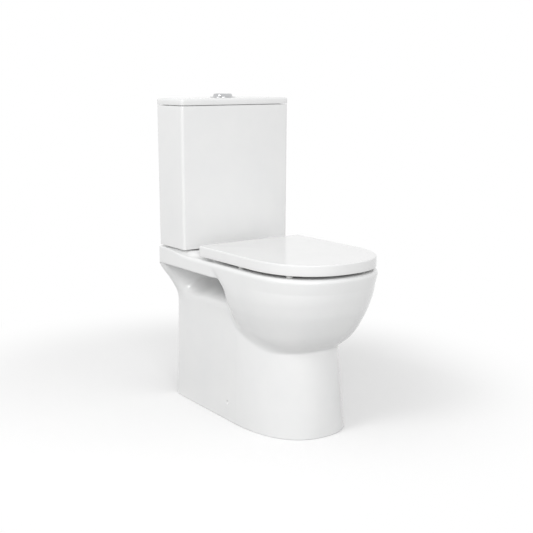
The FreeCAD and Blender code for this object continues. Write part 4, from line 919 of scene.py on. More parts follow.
    def outside(self) -> None:
        """Foot, belly, rim, deck and bowl as sheets that share their edges, and the shelf's hollow."""
        first, above = self.first_free, np.array([0.0, 0.0, self.lap])
        foot, side = self.foot_skin(), self.side_skin()
        foot_corner, side_corner = self.round_corner(foot), self.round_corner(side)
        self.parts.grid(foot)
        self.parts.grid(foot_corner)
        roof_edge = np.concatenate([foot[-1, first:], foot_corner[-1, 1:]])
        roof_end = np.concatenate([self.to_bowl(foot[-1], self.underside)[first:],
                                   foot_corner[-1, 1:] * ONTO_MIDDLE])
        self.parts.grid(np.stack([roof_edge, roof_edge + above, roof_end + above]))
        share = np.linspace(1.0, 0.0, self.wall_rays)[1:, None]
        wall_edge = side_corner[:, -1:] * np.concatenate([share, 0.0 * share, 1.0 + 0.0 * share], axis=1)
        full = np.concatenate([side, side_corner[:, 1:], wall_edge], axis=1)
        self.parts.grid(full)
        bottom = full[0, first:]
        self.parts.grid(np.stack([bottom, np.clip(bottom, [0.0, -self.hollow_front, 0.0],
                                                  [self.half - self.wall, -self.wall, 1.0])]))
        self.shelf_hollow()
        self.parts.grid(self.deck(full[-1]))

    def shelf_hollow(self) -> None:
        """The room inside the shelf: a stepped box, open below, and the sheet from there to the belly."""
        x, back, front, step = self.half - self.wall, -self.wall, -self.hollow_back, -self.ramp[0]
        low, high = self.underside, self.shelf_top - self.shelf_thickness
        mid = self.rim_top - self.shelf_thickness
        path = np.array([[0, back, low], [0, back, high], [0, step, high], [0, step, mid], [0, front, mid],
                         [0, front, low]])
        self.parts.grid(np.stack([path, path + np.array([x, 0.0, 0.0])]))
        top = path[1:5] + np.array([x, 0.0, 0.0])
        self.parts.grid(np.stack([top, top * [1, 1, 0] + [0, 0, low]]))
        y = np.linspace(front, -self.hollow_front, self.sheet_columns)
        share = np.array(self.share_of_bowl(low))
        ahead = self.opening_size(0.0 * y, y + self.opening_centre, share, self.wall)
        wide = 1.0 / self.opening_size(1.0 + 0.0 * y, 0.0 * y, share, self.wall)
        sides = (wide * np.sqrt(np.clip(1.0 - ahead ** 2, 0.0, 1.0)), np.full(len(y), x))
        self.parts.grid(np.stack([layer(np.stack([side, y], axis=1), low + self.lap) for side in sides]))

    def deck(self, edge: np.ndarray) -> np.ndarray:
        """Rows from the rolled edge over the deck, into the bowl, down its wall and over its floor.

        Args:
            edge: the rolled edge's last row.

        Returns:
            The rows, pulled back into the trap's mouth.
        """
        rest = np.linspace(0.0, 1.0, len(edge) - len(self.fan) + 1)[1:] ** self.mouth_ease
        angle = np.concatenate([self.fan, self.fan_back + (QUARTER_TURN - self.fan_back) * rest])
        mouth, middle = self.opening(angle, 1.0), np.array([0.0, -self.opening_centre])
        away = (mouth - middle) / np.linalg.norm(mouth - middle, axis=1, keepdims=True) * self.opening_edge
        rows = [edge]
        for t in np.linspace(0.0, 1.0, self.deck_rows)[1:] ** self.deck_ease:
            flat = edge[:, :2] * (1.0 - t) + (mouth + away) * t
            level = smoothstep(np.hypot(*(flat - edge[:, :2]).T), *self.deck_level)
            rows.append(layer(flat, edge[:, 2] + (self.deck_height(-flat[:, 1]) - edge[:, 2]) * level))
        for draw, drop in rolled(self.mouth_rows, 1):
            rows.append(layer(mouth + away * drop, self.rim_top - self.opening_edge * draw))
        floor_z, depth = self.bowl_floor, self.rim_top - self.bowl_floor
        down = np.linspace(0.0, 1.0, self.bowl_rows)[1:]
        for share in (1.0 - self.opening_edge / depth) * (1.0 - down):
            rows.append(layer(self.opening(angle, share), floor_z + depth * share))
        floor = rows[-1][:, :2]
        for t in np.linspace(1.0, 0.0, self.dish_rows)[1:]:
            rows.append(layer(middle + (floor - middle) * t, floor_z - self.bowl_dish * (1.0 - t * t)))
        grid = np.stack(rows)
        from_trap = np.hypot(grid[..., 0], grid[..., 2] - self.trap_height) / self.trap_radius
        behind = grid[..., 1] > -self.opening_centre
        below = grid[..., 2] < self.trap_height + 2.0 * self.trap_radius
        pull = self.trap_depth * (1.0 - smoothstep(from_trap, *self.trap_edge))
        grid[..., 1] += np.where(behind & below, pull, 0.0)
        return grid

    def inside(self) -> None:
        """The hollow of the foot, its floor edge and wall edge, and the bowl's own wall hanging in it."""
        heights = np.concatenate(
            [[0.0], np.linspace(self.inner_start, self.underside - self.wall, self.inner_rows)])
        inner, outer = [], []
        for z in heights:
            foot = self.reach(self.foot_value, z)
            across = self.at(foot, z)[:, 0].clip(0.0, self.inner_half)
            plain = np.minimum(foot, across / np.maximum(self.dx, self.least_way)) - self.wall
            hanging = self.bowl(z, self.inner_bowl_wall)
            inner.append(self.at(np.maximum(np.maximum(plain, self.least_reach), hanging), z))
            outer.append(self.skin(z))
        inner, outer = np.stack(inner), np.stack(outer)
        wall_row = inner[:, -1:] * ONTO_WALL
        inner = np.concatenate([inner, wall_row], axis=1)
        self.parts.grid(inner)
        top = inner[-1]
        ceiling = np.concatenate([self.to_bowl(top[:-1], heights[-1]), top[-1:] * ONTO_MIDDLE])
        self.parts.grid(np.stack([top, ceiling]))
        outside_wall = outer[:, -1:] * ONTO_WALL - np.array([self.corner, 0.0, 0.0])
        self.parts.grid(np.stack([np.concatenate([outer[0], outside_wall[0]]), inner[0]]))
        self.parts.grid(np.concatenate([outside_wall, wall_row], axis=1))
        self.hanging_bowl(heights[-1])

    def hanging_bowl(self, top: float) -> None:
        """The outside of the bowl's own wall, from the foot's ceiling down to its middle.

        Args:
            top: the ceiling's height.
        """
        angle = np.linspace(-QUARTER_TURN, QUARTER_TURN, self.hanging_rays)
        floor, depth, rows = self.bowl_floor, self.rim_top - self.bowl_floor, []
        for share in np.linspace(self.share_of_bowl(top), 0.0, self.hanging_rows):
            z = floor - self.wall * (1.0 - share) + depth * share
            rows.append(layer(self.opening(angle, share, self.wall), z))
        rows.append(rows[-1] * UP + np.array([0.0, -self.opening_centre, 0.0]))
        self.parts.grid(np.stack(rows))

    def pieces(self) -> Iterator[Piece]:
        """The pan, which stands for three of its four castings. The trap keeps its CAD skin.

        Yields:
            The one piece.
        """
        self.outside()
        self.inside()
        skin = self.parts.mirrored().build("pan", self.crisp)
        yield Piece(skin, "suite", ("pan_rim", "pan_bowl", "pan_foot"), Slot.CERAMIC)


# The tank and its lid

@dataclass(frozen=True)
class TankOutline:
    """A flat box outline against the wall, with round corners and a bowed front."""

    half: float
    depth: float
    bow: float = 0.0015
    front_corner: float = 0.007
    rear_corner: float = 0.010
    least_corner: float = 0.0015
    rear_points: int = 18
    side_points: int = 18
    face_points: int = 40
    rear_corner_points: int = 9
    front_corner_points: int = 15

    def loop(self, inset: float = 0.0, rear: float = 0.0) -> np.ndarray:
        """Points round the outline from the rear centre over the right side and back.

        Args:
            inset: how far the front and sides move in.
            rear: how far the back moves forwards.

        Returns:
            Points by 2, the last not repeating the first.
        """
        half, depth = self.half - inset, self.depth - inset
        front = max(self.front_corner - inset, self.least_corner)
        back = max(self.rear_corner - inset, self.least_corner)
        tilt = math.atan(2.0 * self.bow / half)
        end_x = half - front + front * math.sin(tilt)
        start_y = -depth + self.bow * (end_x / half) ** 2 + front * math.cos(tilt)
        x = np.linspace(0.0, half - back, self.rear_points)[:-1]
        rear_edge = np.stack([x, np.full(len(x), -rear)], axis=1)
        rear_turn = arc((half - back, -rear - back), back, 90.0, 0.0, self.rear_corner_points)
        y = np.linspace(-rear - back, start_y, self.side_points)[1:-1]
        side = np.stack([np.full(len(y), half), y], axis=1)
        end = -90.0 + math.degrees(tilt)
        turn = arc((half - front, start_y), front, 0.0, end, self.front_corner_points)
        x = np.linspace(end_x, 0.0, self.face_points)[1:]
        face = np.stack([x, -depth + self.bow * (x / half) ** 2], axis=1)
        return both_sides(np.concatenate([rear_edge, rear_turn, side, turn, face]))


@dataclass(frozen=True)
class Tank:
    """The open tank and its lid."""

    side_play: float = 0.0004
    front_play: float = 0.0010
    taper: float = 0.002
    wall: float = 0.010
    floor: float = 0.012
    foot: float = 0.0018
    lip: float = 0.0012
    roll: float = 0.0068
    crown: float = 0.0009
    plate: float = 0.010
    joint: float = 0.0016
    joint_depth: float = 0.0045
    drop: float = 0.0150
    drop_rear: float = 0.0115
    drop_wall: float = 0.006
    bore: float = 0.0222
    bore_centre: tuple[float, float] = (0.0, -0.066)
    under_insets: tuple[float, ...] = (0.060, 0.030, 0.010)
    floor_insets: tuple[float, ...] = (0.030, 0.060)
    side_rows: int = 30
    inner_rows: int = 12
    lip_rows: int = 5
    foot_rows: int = 7
    fillet_rows: int = 6
    roll_rows: int = 11
    bevel: float = 0.001
    drop_rear_foot: float = 0.012
    drop_rear_bevel: float = 0.0007
    under_edge: float = 0.0009
    under_bevel: float = 0.0003
    crown_share: float = 0.6
    crown_rows: int = 26

    def shell(self) -> bpy.types.Object:
        """The open tank: tapered sides, a rounded foot, a floor and softly rounded lips.

        Returns:
            The piece.
        """
        low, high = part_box("tank_body")
        cover_low, cover_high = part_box("tank_lid")
        half, depth = cover_high.x - self.side_play, -cover_low.y - self.front_play
        floor, wall, foot, lip = low.z + self.floor, self.wall, self.foot, self.lip
        rows = []

        def add(z: float, inset: float) -> None:
            """Adds a row at height z, drawn in all round by inset and by the taper's share."""
            shrink = self.taper * (high.z - z) / (high.z - low.z)
            rows.append(layer(TankOutline(half - shrink, depth - shrink).loop(inset, inset), z))

        for inset in self.under_insets:
            add(low.z, inset)
        for draw, drop in rolled(self.foot_rows):
            add(low.z + foot * draw, foot * drop)
        for z in np.linspace(low.z + foot, high.z - lip, self.side_rows)[1:]:
            add(z, 0.0)
        for draw, drop in rolled(self.lip_rows, 1):
            add(high.z - lip * drop, lip * draw)
        for draw, drop in reversed(list(rolled(self.lip_rows))):
            add(high.z - lip * drop, wall - lip * draw)
        for z in np.linspace(high.z - lip, floor + foot, self.inner_rows)[1:]:
            add(z, wall)
        for draw, drop in rolled(self.fillet_rows, 1):
            add(floor + foot * drop, wall + foot * draw)
        for inset in self.floor_insets:
            add(floor, inset)
        return tube("tank_shell", np.stack(rows), rows[0], rows[-1])

    def cover(self) -> bpy.types.Object:
        """The lid: a crowned plate with a rolled edge, a joint below it and a lip that drops into the tank.

        Returns:
            The piece.
        """
        low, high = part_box("tank_lid")
        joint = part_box("tank_body")[1].z + self.joint
        edge_top, under = high.z - self.crown, high.z - self.plate
        shape, centre = TankOutline(high.x, -low.y), np.array(self.bore_centre)
        inner, inner_rear = self.drop + self.drop_wall, self.drop_rear_foot + self.drop_wall
        bevel, edge, small = self.bevel, self.under_edge, self.under_bevel
        rows = [layer(shape.loop(inset, rear), z) for z, inset, rear in (
            (under, inner, inner_rear), (low.z + bevel, inner, inner_rear),
            (low.z, inner - bevel, inner_rear - bevel),
            (low.z, self.drop + bevel, self.drop_rear + self.drop_rear_bevel),
            (low.z + bevel, self.drop, self.drop_rear),
            (joint, self.drop, self.drop_rear), (joint, self.joint_depth, self.joint_depth),
            (joint, edge, edge), (joint + small, small, small), (joint + bevel, 0.0, 0.0))]
        rows += [layer(shape.loop(self.roll * draw, self.roll * draw), edge_top - self.roll * drop)
                 for draw, drop in rolled(self.roll_rows)]
        flat = rows[-1][:, :2]
        way = flat - centre
        hole = centre + way / np.linalg.norm(way, axis=1, keepdims=True) * self.bore
        rows += crowned(flat, hole, edge_top, self.crown, self.crown_share, self.crown_rows)
        return tube("tank_cover", np.stack([*rows, layer(hole, under), rows[0]]))

    def pieces(self) -> Iterator[Piece]:
        """The tank on the pan, and its lid, which lifts off."""
        yield Piece(self.shell(), "suite", ("tank_body",), Slot.CERAMIC)
        yield Piece(self.cover(), "tank_cover", ("tank_lid",), Slot.CERAMIC)


# The push button

@dataclass(frozen=True)
class PushButton:
    """The chromed ring in the tank lid, the two halves of the button and their return springs."""

    foot_height: float = 0.0014
    soft: float = 0.0005
    cone_radius: float = 0.0272
    top_radius: float = 0.0238
    bore: float = 0.0217
    # Points of the ring's profile: how far in or out from a radius, and how far up or down from a height.
    foot_edge: tuple[float, float] = (0.0004, 0.0003)
    soft_share: float = 0.3
    cone_foot: tuple[tuple[float, float], ...] = ((0.0010, 0.0001), (0.0, 0.0009))
    cone_side: tuple[float, float] = (0.0012, 0.0053)
    top_edge: tuple[tuple[float, float], ...] = ((0.0010, 0.0008), (0.0005, 0.0002), (0.0, 0.0))
    bore_edge: tuple[tuple[float, float], ...] = ((0.0006, 0.0), (0.0001, 0.0004), (0.0, 0.0012))
    # The button halves.
    radius: float = 0.019
    split: float = 0.00035
    edge: float = 0.0012
    thick: float = 0.006
    fall: float = 0.0007
    stem_radius: float = 0.003
    stem_offset: float = 0.009
    travel: float = 0.007
    # The return springs, then the counts of steps and the small sizes of all.
    wire: float = 0.0005
    turns: float = 6.5
    soft_start: float = 0.35
    flat_turn: float = 0.12
    coil_steps: int = 420
    wire_steps: int = 10
    ring_steps: int = 144
    stem_steps: int = 32
    dome_shares: tuple[float, ...] = (0.86, 0.66, 0.44, 0.22, 0.0)
    dome_centre_share: float = 0.45
    fall_power: float = 1.5
    disc_points: int = 48
    chord_points: int = 18
    chord_share: float = 0.6
    edge_rows: int = 7
    small: float = 0.0004
    foot_bevel: float = 0.0005

    def ring(self) -> bpy.types.Object:
        """The chromed ring: a thin foot, a long soft cone and a rounded flat round the buttons.

        Returns:
            The piece.
        """
        low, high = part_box("button_bezel")
        foot, soft, step, cone, top, bore = (high.x, self.soft, low.z + self.foot_height, self.cone_radius,
                                             self.top_radius, self.bore)
        within, up = self.foot_edge
        round_off, (cone_in, cone_up) = soft * self.soft_share, self.cone_side
        profile = np.array([
            (bore, low.z), (foot - within, low.z), (foot, low.z + up), (foot, step - soft),
            (foot - round_off, step - round_off), (foot - soft, step),
            *((cone + out, step + rise) for out, rise in self.cone_foot), (cone - cone_in, low.z + cone_up),
            *((top + out, high.z - fall) for out, fall in self.top_edge),
            *((bore + out, high.z - fall) for out, fall in self.bore_edge), (bore, low.z)])
        return lathe(profile, middle_of(low, high), "button_ring", self.ring_steps)

    def half_disc(self, inset: float) -> np.ndarray:
        """The outline of a button half at +X: an arc and the chord beside the split.

        Args:
            inset: how far it is drawn in.

        Returns:
            Points by 2.
        """
        r, near = self.radius - inset, self.split + inset * self.chord_share
        limit = math.asin(near / r)
        curve = np.linspace(-QUARTER_TURN + limit, QUARTER_TURN - limit, self.disc_points)
        rim = np.stack([r * np.cos(curve), r * np.sin(curve)], axis=1)
        y = np.linspace(rim[-1, 1], rim[0, 1], self.chord_points)[1:-1]
        chord = np.stack([np.full(len(y), near), y], axis=1)
        return np.concatenate([rim, chord])

    def half(self, name: str, side: int) -> bpy.types.Object:
        """One half of the button: a rounded half disc that falls a little towards the split, and its stem.

        Args:
            name: full or half, for the flush that it gives.
            side: 1 for the half at +X, -1 for the other.

        Returns:
            The button half.
        """
        low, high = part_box(name + "_flush_button")
        centre_y, top, under, edge = middle_of(low, high)[1], high.z, high.z - self.thick, self.edge
        bevel = self.foot_bevel
        rows = [layer(self.half_disc(bevel), under), layer(self.half_disc(0.0), under + bevel)]
        rows += [layer(self.half_disc(edge * draw), top - edge * drop)
                 for draw, drop in rolled(self.edge_rows)]
        middle = np.array([self.radius * self.dome_centre_share, 0.0, top])
        rows += [middle + (rows[-1] - middle) * t for t in self.dome_shares]
        grid = np.stack(rows)
        upper = smoothstep(grid[..., 2], top - self.thick / 2.0, top - edge)
        inwards = 1.0 - np.clip(grid[..., 0] / self.radius, 0.0, 1.0)
        grid[..., 2] -= upper * self.fall * inwards ** self.fall_power
        grid[..., 0] *= side
        grid[..., 1] += centre_y
        r, small, neck = self.stem_radius, self.small, under + self.small / 2.0
        stem = np.array([(0.0, low.z), (r - small, low.z), (r, low.z + small), (r, neck), (0.0, neck)])
        return join(name + "_button_finish", [
            tube("cap", grid, grid[0]), lathe(
                stem, (side * self.stem_offset, centre_y), "stem", self.stem_steps)])

    def spring(self, name: str) -> bpy.types.Object:
        """A button's return spring: a round wire on a helix whose end turns close up flat.

        The centre line goes round at the coil's radius, and rises with the share of turns, eased at both
        ends. The wire is a circle across that line, so the surface is a function of the turn and of the angle
        round the wire.

        Args:
            name: full or half, for the flush that its button gives.

        Returns:
            The spring.
        """
        low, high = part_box(name + "_button_spring")
        wire, share = self.wire, np.linspace(0.0, 1.0, self.coil_steps)
        even = np.clip((share - self.flat_turn) / (1.0 - 2.0 * self.flat_turn), 0.0, 1.0)
        eased = self.soft_start * smoothstep(share, 0.0, 1.0) + (1.0 - self.soft_start) * even
        angle = 2.0 * np.pi * self.turns * share
        away = np.stack([np.cos(angle), np.sin(angle)], axis=1)
        line = layer(np.array(middle_of(low, high)) + away * ((high.x - low.x) / 2.0 - wire),
                     low.z + wire + (high.z - low.z - 2.0 * wire) * eased)
        turn = np.linspace(0.0, 2.0 * np.pi, self.wire_steps, endpoint=False)[:, None]
        grid = (line[:, None] + layer(away, 0.0)[:, None] * (wire * np.cos(turn))
                + UP * (wire * np.sin(turn)))
        return tube(name + "_return_spring", grid, grid[0], grid[-1][::-1])

    def pieces(self) -> Iterator[Piece]:
        """The ring, the two halves and the springs.

        Yields:
            The five pieces.
        """
        yield Piece(self.ring(), "tank_cover", ("button_bezel",), Slot.CHROME)
        for name, side in (("full", -1), ("half", 1)):
            yield Piece(self.half(name, side), name + "_button", (name + "_flush_button",), Slot.CHROME)
        for name in ("full", "half"):
            yield Piece(self.spring(name), "tank_cover", (name + "_button_spring",), Slot.STEEL,
                        name + "_flush_press", self.travel)


# The seat

@dataclass(frozen=True)
class DOutline:
    """A flat D: a straight rear, straight sides and a superellipse front."""

    half: float
    rear: float
    front: float
    corner: float
    least_corner: float = 0.0008
    rear_points: int = 16
    corner_points: int = 9
    side_points: int = 40
    nose_points: int = 60

    def loop(self, inset: float) -> np.ndarray:
        """Points round the outline, from the rear centre over the right side and back.

        Args:
            inset: how far it moves in all round.

        Returns:
            Points by 2, the last not repeating the first.
        """
        half, rear, front = self.half - inset, self.rear + inset, self.front - inset
        corner = max(self.corner - inset, self.least_corner)
        x = np.linspace(0.0, half - corner, self.rear_points)[:-1]
        back = np.stack([x, np.full(len(x), -rear)], axis=1)
        turn = arc((half - corner, -rear - corner), corner, 90.0, 0.0, self.corner_points)
        y = np.linspace(-rear - corner, -RIM_SHOULDER, self.side_points)[1:]
        angle, power = np.linspace(0.0, QUARTER_TURN, self.nose_points)[1:], 2.0 / RIM_ROUNDNESS
        nose = np.stack([half * np.cos(angle).clip(0.0) ** power,
                         -RIM_SHOULDER - (front - RIM_SHOULDER) * np.sin(angle) ** power], axis=1)
        side = np.stack([np.full(len(y), half), y], axis=1)
        return both_sides(np.concatenate([back, turn, side, nose]))


@dataclass(frozen=True)
class Seat:
    """The seat ring and the wrap-over lid, on one hinge axis."""

    hinge: tuple[float, float] = (-0.208, 0.447)
    knuckle: float = 0.0085
    lid_lug: tuple[float, float] = (0.0913, 0.1093)
    ring_lug: tuple[float, float] = (0.0457, 0.0637)
    lid_turn: tuple[float, float] = (0.0, -180.0)
    lid_turn_points: int = 25
    ring_turn: tuple[float, float] = (132.0, -90.0)
    ring_turn_points: int = 30
    lid_bottom: float = 0.434
    lid_corner: float = 0.012
    lid_centre: tuple[float, float] = (0.0, -0.405)
    lid_crown: float = 0.0012
    lid_edge: float = 0.0034
    lid_wall: float = 0.005
    lid_plate: float = 0.006
    lid_opening: float = 0.120
    ring_bottom: float = 0.4325
    ring_top: float = 0.451
    ring_rear: float = 0.224
    ring_corner: float = 0.020
    ring_edge: float = 0.0045
    hole_edge: float = 0.006
    hole_dip: float = 0.0022
    hole_half: float = 0.108
    hole_centre: float = 0.405
    hole_reach: float = 0.143
    hole_power: float = 2.2
    skirt_bevel: float = 0.0008
    skirt_rise: float = 0.0012
    skirt_insets: tuple[float, float] = (0.0010, 0.0003)
    skirt_step: float = 0.0004
    skirt_shares: tuple[float, ...] = (0.35, 0.7)
    rear_band: float = 0.001
    ceiling_shares: tuple[float, ...] = (1.0, 0.5, 0.0)
    edge_rows: int = 10
    crown_share: float = 0.7
    crown_rows: int = 22
    sink: float = 0.001
    ring_bevel: float = 0.0015
    ring_soft: float = 0.0004
    ring_rows: int = 9
    dip_rows: int = 14
    dip_shares: tuple[float, float] = (0.15, 1.0)
    arm: float = 0.006
    arm_neck: float = 0.011
    arm_fall: float = 0.0006

    def cover(self) -> bpy.types.Object:
        """The lid: a gently crowned plate, soft edges, a skirt that opens at the hinges, and two knuckles.

        Returns:
            The piece.
        """
        low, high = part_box("seat_lid")
        shape = DOutline(high.x, -high.y, -low.y, self.lid_corner)
        edge, wall = self.lid_edge, self.lid_wall
        edge_top, ceiling = high.z - self.lid_crown, high.z - self.lid_plate
        outer = shape.loop(0.0)
        open_rear = (np.abs(outer[:, 0]) < self.lid_opening) & (outer[:, 1] > -shape.rear - self.rear_band)
        base = np.where(open_rear, ceiling, self.lid_bottom)
        bevel, rise, (foot, flank) = self.skirt_bevel, self.skirt_rise, self.skirt_insets
        rows = [layer(shape.loop(inset), z) for inset, z in (
            (wall, ceiling), (wall, base + bevel), (wall - bevel, base), (foot, base),
            (flank, base + self.skirt_step), (0.0, base + rise))]
        rows += [layer(outer, base + rise + (edge_top - edge - base - rise) * t)
                 for t in self.skirt_shares]
        rows += [layer(shape.loop(edge * draw), np.maximum(edge_top - edge * drop, base))
                 for draw, drop in rolled(self.edge_rows)]
        flat, centre = rows[-1][:, :2], np.array(self.lid_centre)
        rows += crowned(flat, centre, edge_top, self.lid_crown, self.crown_share, self.crown_rows)
        under = [layer(centre + (shape.loop(wall) - centre) * t, ceiling) for t in self.ceiling_shares]
        parts = MeshParts()
        parts.grid(np.stack(rows), closed=True)
        parts.grid(np.stack(under), closed=True)
        y, plate = self.hinge[0], ceiling + self.sink
        bottom = arc(self.hinge, self.knuckle, *self.lid_turn, self.lid_turn_points)
        lug = np.concatenate([[(y + self.knuckle, plate)], bottom, [(y - self.knuckle, plate)]])
        return join("seat_cover", [parts.build("lid_shell"), *lugs(lug, *self.lid_lug)])

    def ring(self) -> bpy.types.Object:
        """The seat ring: a rounded ring that dips to its opening, with two knuckles on short arms.

        Returns:
            The piece.
        """
        low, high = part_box("seat_ring")
        bottom, top, edge = self.ring_bottom, self.ring_top, self.ring_edge
        hole_edge, dip = self.hole_edge, self.hole_dip
        shape = DOutline(high.x, self.ring_rear, -low.y, self.ring_corner)
        outer = shape.loop(0.0)
        angle = np.arctan2(outer[:, 1] + self.hole_centre, outer[:, 0])
        unit = np.stack([np.cos(angle), np.sin(angle)], axis=1)

        def hole(grow: float) -> np.ndarray:
            """The opening's outline, moved out by grow."""
            size = superellipse(unit[:, 0] / (self.hole_half + grow), unit[:, 1] / (self.hole_reach + grow),
                                self.hole_power)
            return unit / size[:, None] + np.array([0.0, -self.hole_centre])

        bevel = self.ring_bevel
        rows = [layer(hole(bevel), bottom), layer(shape.loop(bevel), bottom),
                layer(shape.loop(self.ring_soft), bottom + bevel / 3.0), layer(outer, bottom + bevel)]
        rows += [layer(shape.loop(edge * draw), top - edge * drop) for draw, drop in rolled(self.ring_rows)]
        flat, near = rows[-1][:, :2], hole(hole_edge)
        rows += [layer(flat + (near - flat) * t, top - dip * smoothstep(t, *self.dip_shares))
                 for t in np.linspace(0.0, 1.0, self.dip_rows)[1:]]
        rows += [layer(hole(hole_edge * drop), top - dip - hole_edge * draw)
                 for draw, drop in rolled(self.ring_rows, 1)]
        body = tube("ring_body", np.stack([*rows, layer(hole(0.0), bottom + bevel), rows[0]]))
        y, z = self.hinge
        rear = -self.ring_rear - self.arm
        neck = (y - self.arm_neck, top - self.sink - self.arm_fall)
        nose = arc(self.hinge, self.knuckle, *self.ring_turn, self.ring_turn_points)
        lug = np.concatenate([[(rear, top - self.sink), neck], nose, [(rear, z - self.knuckle)]])
        return join("seat_frame", [body, *lugs(lug, *self.ring_lug)])

    def pieces(self) -> Iterator[Piece]:
        """The ring, and the lid over it."""
        yield Piece(self.ring(), "seat_ring", ("seat_ring",), Slot.SEAT_PLASTIC)
        yield Piece(self.cover(), "seat_lid", ("seat_lid",), Slot.SEAT_PLASTIC)


# Camera, light and floor

WHITE = (1.0, 1.0, 1.0, 1.0)


@dataclass(frozen=True)
class Lamp:
    """One square soft box: where it hangs, what it points at, its side and its power."""

    name: str
    place: tuple[float, float, float]
    target: tuple[float, float, float]
    size: float
    watts: float

    def add(self) -> None:
        """Hangs the lamp."""
        data = bpy.data.lights.new(self.name, "AREA")
        data.size, data.energy = self.size, self.watts
        lamp = bpy.data.objects.new(self.name, data)
        way = Vector(self.target) - Vector(self.place)
        lamp.matrix_world = Matrix.Translation(self.place) @ way.to_track_quat("-Z", "Y").to_matrix().to_4x4()
        bpy.context.scene.collection.objects.link(lamp)


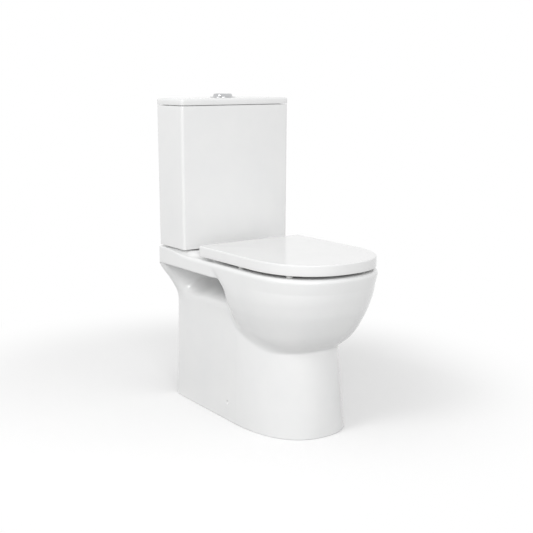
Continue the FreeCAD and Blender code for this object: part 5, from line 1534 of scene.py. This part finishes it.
@dataclass(frozen=True)
class Studio:
    """The camera, low at the front left with a long lens, an even room, two soft boxes and a pale floor."""

    azimuth: float = 35.69
    pitch: float = 10.71
    lens: float = 68.55
    sensor_width: float = 36.0
    clip: tuple[float, float] = (0.05, 50.0)
    place: tuple[float, float, float] = (-1.5477, -2.42634, 0.90086)
    room_light: float = 0.71
    lamps: tuple[Lamp, ...] = (Lamp("key", (-1.5, -3.0, 1.6), (0.0, -0.3, 0.2), 1.4, 30.0),
                               Lamp("side", (-2.7, -0.7, 2.5), (0.0, -0.3, 0.3), 1.2, 26.0))
    floor_reach: float = 12.0
    floor_clouds: float = 1.5
    floor_roughness: float = 0.9
    floor_tones: tuple[float, float] = (0.52, 0.49)
    floor_fade: tuple[float, float] = (0.45, 1.1)

    def add_camera(self) -> None:
        """Puts the camera where the photograph was taken from."""
        data = bpy.data.cameras.new("camera")
        data.lens, data.sensor_width = self.lens, self.sensor_width
        data.clip_start, data.clip_end = self.clip
        camera = bpy.data.objects.new("camera", data)
        camera.location = self.place
        camera.rotation_euler = (math.pi / 2.0 - math.radians(self.pitch), 0.0, -math.radians(self.azimuth))
        bpy.context.scene.collection.objects.link(camera)
        bpy.context.scene.camera = camera

    @staticmethod
    def seen_directly(tree: bpy.types.NodeTree, light: bpy.types.NodeSocket,
                      seen: bpy.types.NodeSocket) -> bpy.types.NodeSocket:
        """Mixes two shaders: one for what the camera, reflections and glass show, and one for the light.

        Args:
            tree: the node tree to add to.
            light: the shader for the light that surfaces get.
            seen: the shader that is seen.

        Returns:
            The mixed shader.
        """
        path = add_node(tree, "ShaderNodeLightPath")
        found = path.outputs["Is Camera Ray"]
        for name in ("Is Glossy Ray", "Is Transmission Ray"):
            either = add_node(tree, "ShaderNodeMath", {0: found, 1: path.outputs[name]}, operation="MAXIMUM")
            found = either.outputs["Value"]
        return add_node(tree, "ShaderNodeMixShader", {"Fac": found, 1: light, 2: seen}).outputs["Shader"]

    def add_world(self) -> None:
        """Lights the room evenly and shows white to the camera and in reflections."""
        world = bpy.data.worlds.new("studio")
        bpy.context.scene.world = world
        world.use_nodes = True
        tree = world.node_tree
        tree.nodes.clear()
        room, white = (add_node(tree, "ShaderNodeBackground", {"Color": WHITE, "Strength": strength})
                       for strength in (self.room_light, 1.0))
        add_node(tree, "ShaderNodeOutputWorld", {
            "Surface": self.seen_directly(tree, room.outputs["Background"], white.outputs["Background"])})

    def add_floor(self) -> None:
        """A wide pale floor that is seen white, with the suite's shadow, and as pure white further out."""
        reach = self.floor_reach
        mesh = bpy.data.meshes.new("floor")
        corners = ((-reach, -reach), (reach, -reach), (reach, reach), (-reach, reach))
        mesh.from_pydata([(x, y, 0.0) for x, y in corners], [], [(0, 1, 2, 3)])
        floor = bpy.data.objects.new("floor", mesh)
        bpy.context.scene.collection.objects.link(floor)
        material = bpy.data.materials.new("pale_floor")
        material.use_nodes = True
        tree = material.node_tree
        shader = tree.nodes["Principled BSDF"]
        place = add_node(tree, "ShaderNodeTexCoord").outputs["Object"]
        noise = add_node(tree, "ShaderNodeTexNoise", {"Scale": self.floor_clouds, "Vector": place})
        tone = add_node(tree, "ShaderNodeMix", data_type="RGBA")
        light, dark = self.floor_tones
        feed(tree, tone, {"A": (light, light, light, 1.0), "B": (dark, dark, dark, 1.0),
                          "Factor": noise.outputs["Fac"]})
        matt = {"Roughness": self.floor_roughness, "Specular IOR Level": 0.0}
        feed(tree, shader, {**matt, "Base Color": tone.outputs["Result"]})
        near = add_node(tree, "ShaderNodeBsdfPrincipled", {**matt, "Base Color": WHITE})
        length = add_node(tree, "ShaderNodeVectorMath", {0: place}, operation="LENGTH")
        far = add_node(tree, "ShaderNodeMapRange", {
            "Value": length.outputs["Value"], "From Min": self.floor_fade[0], "From Max": self.floor_fade[1]},
            interpolation_type="SMOOTHERSTEP")
        pale = add_node(tree, "ShaderNodeMixShader", {
            "Fac": far.outputs["Result"], 1: near.outputs["BSDF"],
            2: add_node(tree, "ShaderNodeEmission").outputs["Emission"]})
        feed(tree, tree.nodes["Material Output"], {
            "Surface": self.seen_directly(tree, shader.outputs["BSDF"], pale.outputs["Shader"])})
        mesh.materials.append(material)

    def build(self) -> None:
        """Sets the studio up."""
        self.add_camera()
        self.add_world()
        for lamp in self.lamps:
            lamp.add()
        self.add_floor()


# The whole suite

def dress_nodes(materials: dict[str, bpy.types.Material]) -> None:
    """Gives every CAD node the finish of its slot in the record.

    Args:
        materials: the finished materials by slot.
    """
    for part in frame["record"]["subparts"]:
        node, material = frame["nodes"][part["node"]], materials[part["material_slot"]]
        if not node.material_slots:
            node.data.materials.append(material)
        for holder in node.material_slots:
            holder.material = material


def main() -> None:
    """Builds the scene round the frame."""
    logging.basicConfig(level=logging.INFO)
    bpy.context.scene.view_settings.view_transform = "Standard"
    group = surface_group()
    materials = {slot.slot: make_material(slot, group) for slot in Slot}
    dress_nodes(materials)
    for assembly in (Pan(), Tank(), PushButton(), Seat()):
        for piece in assembly.pieces():
            piece.dress(materials)
            LOG.info("%s: %d faces", piece.obj.name, len(piece.obj.data.polygons))
    Studio().build()


if __name__ == "__main__":
    main()
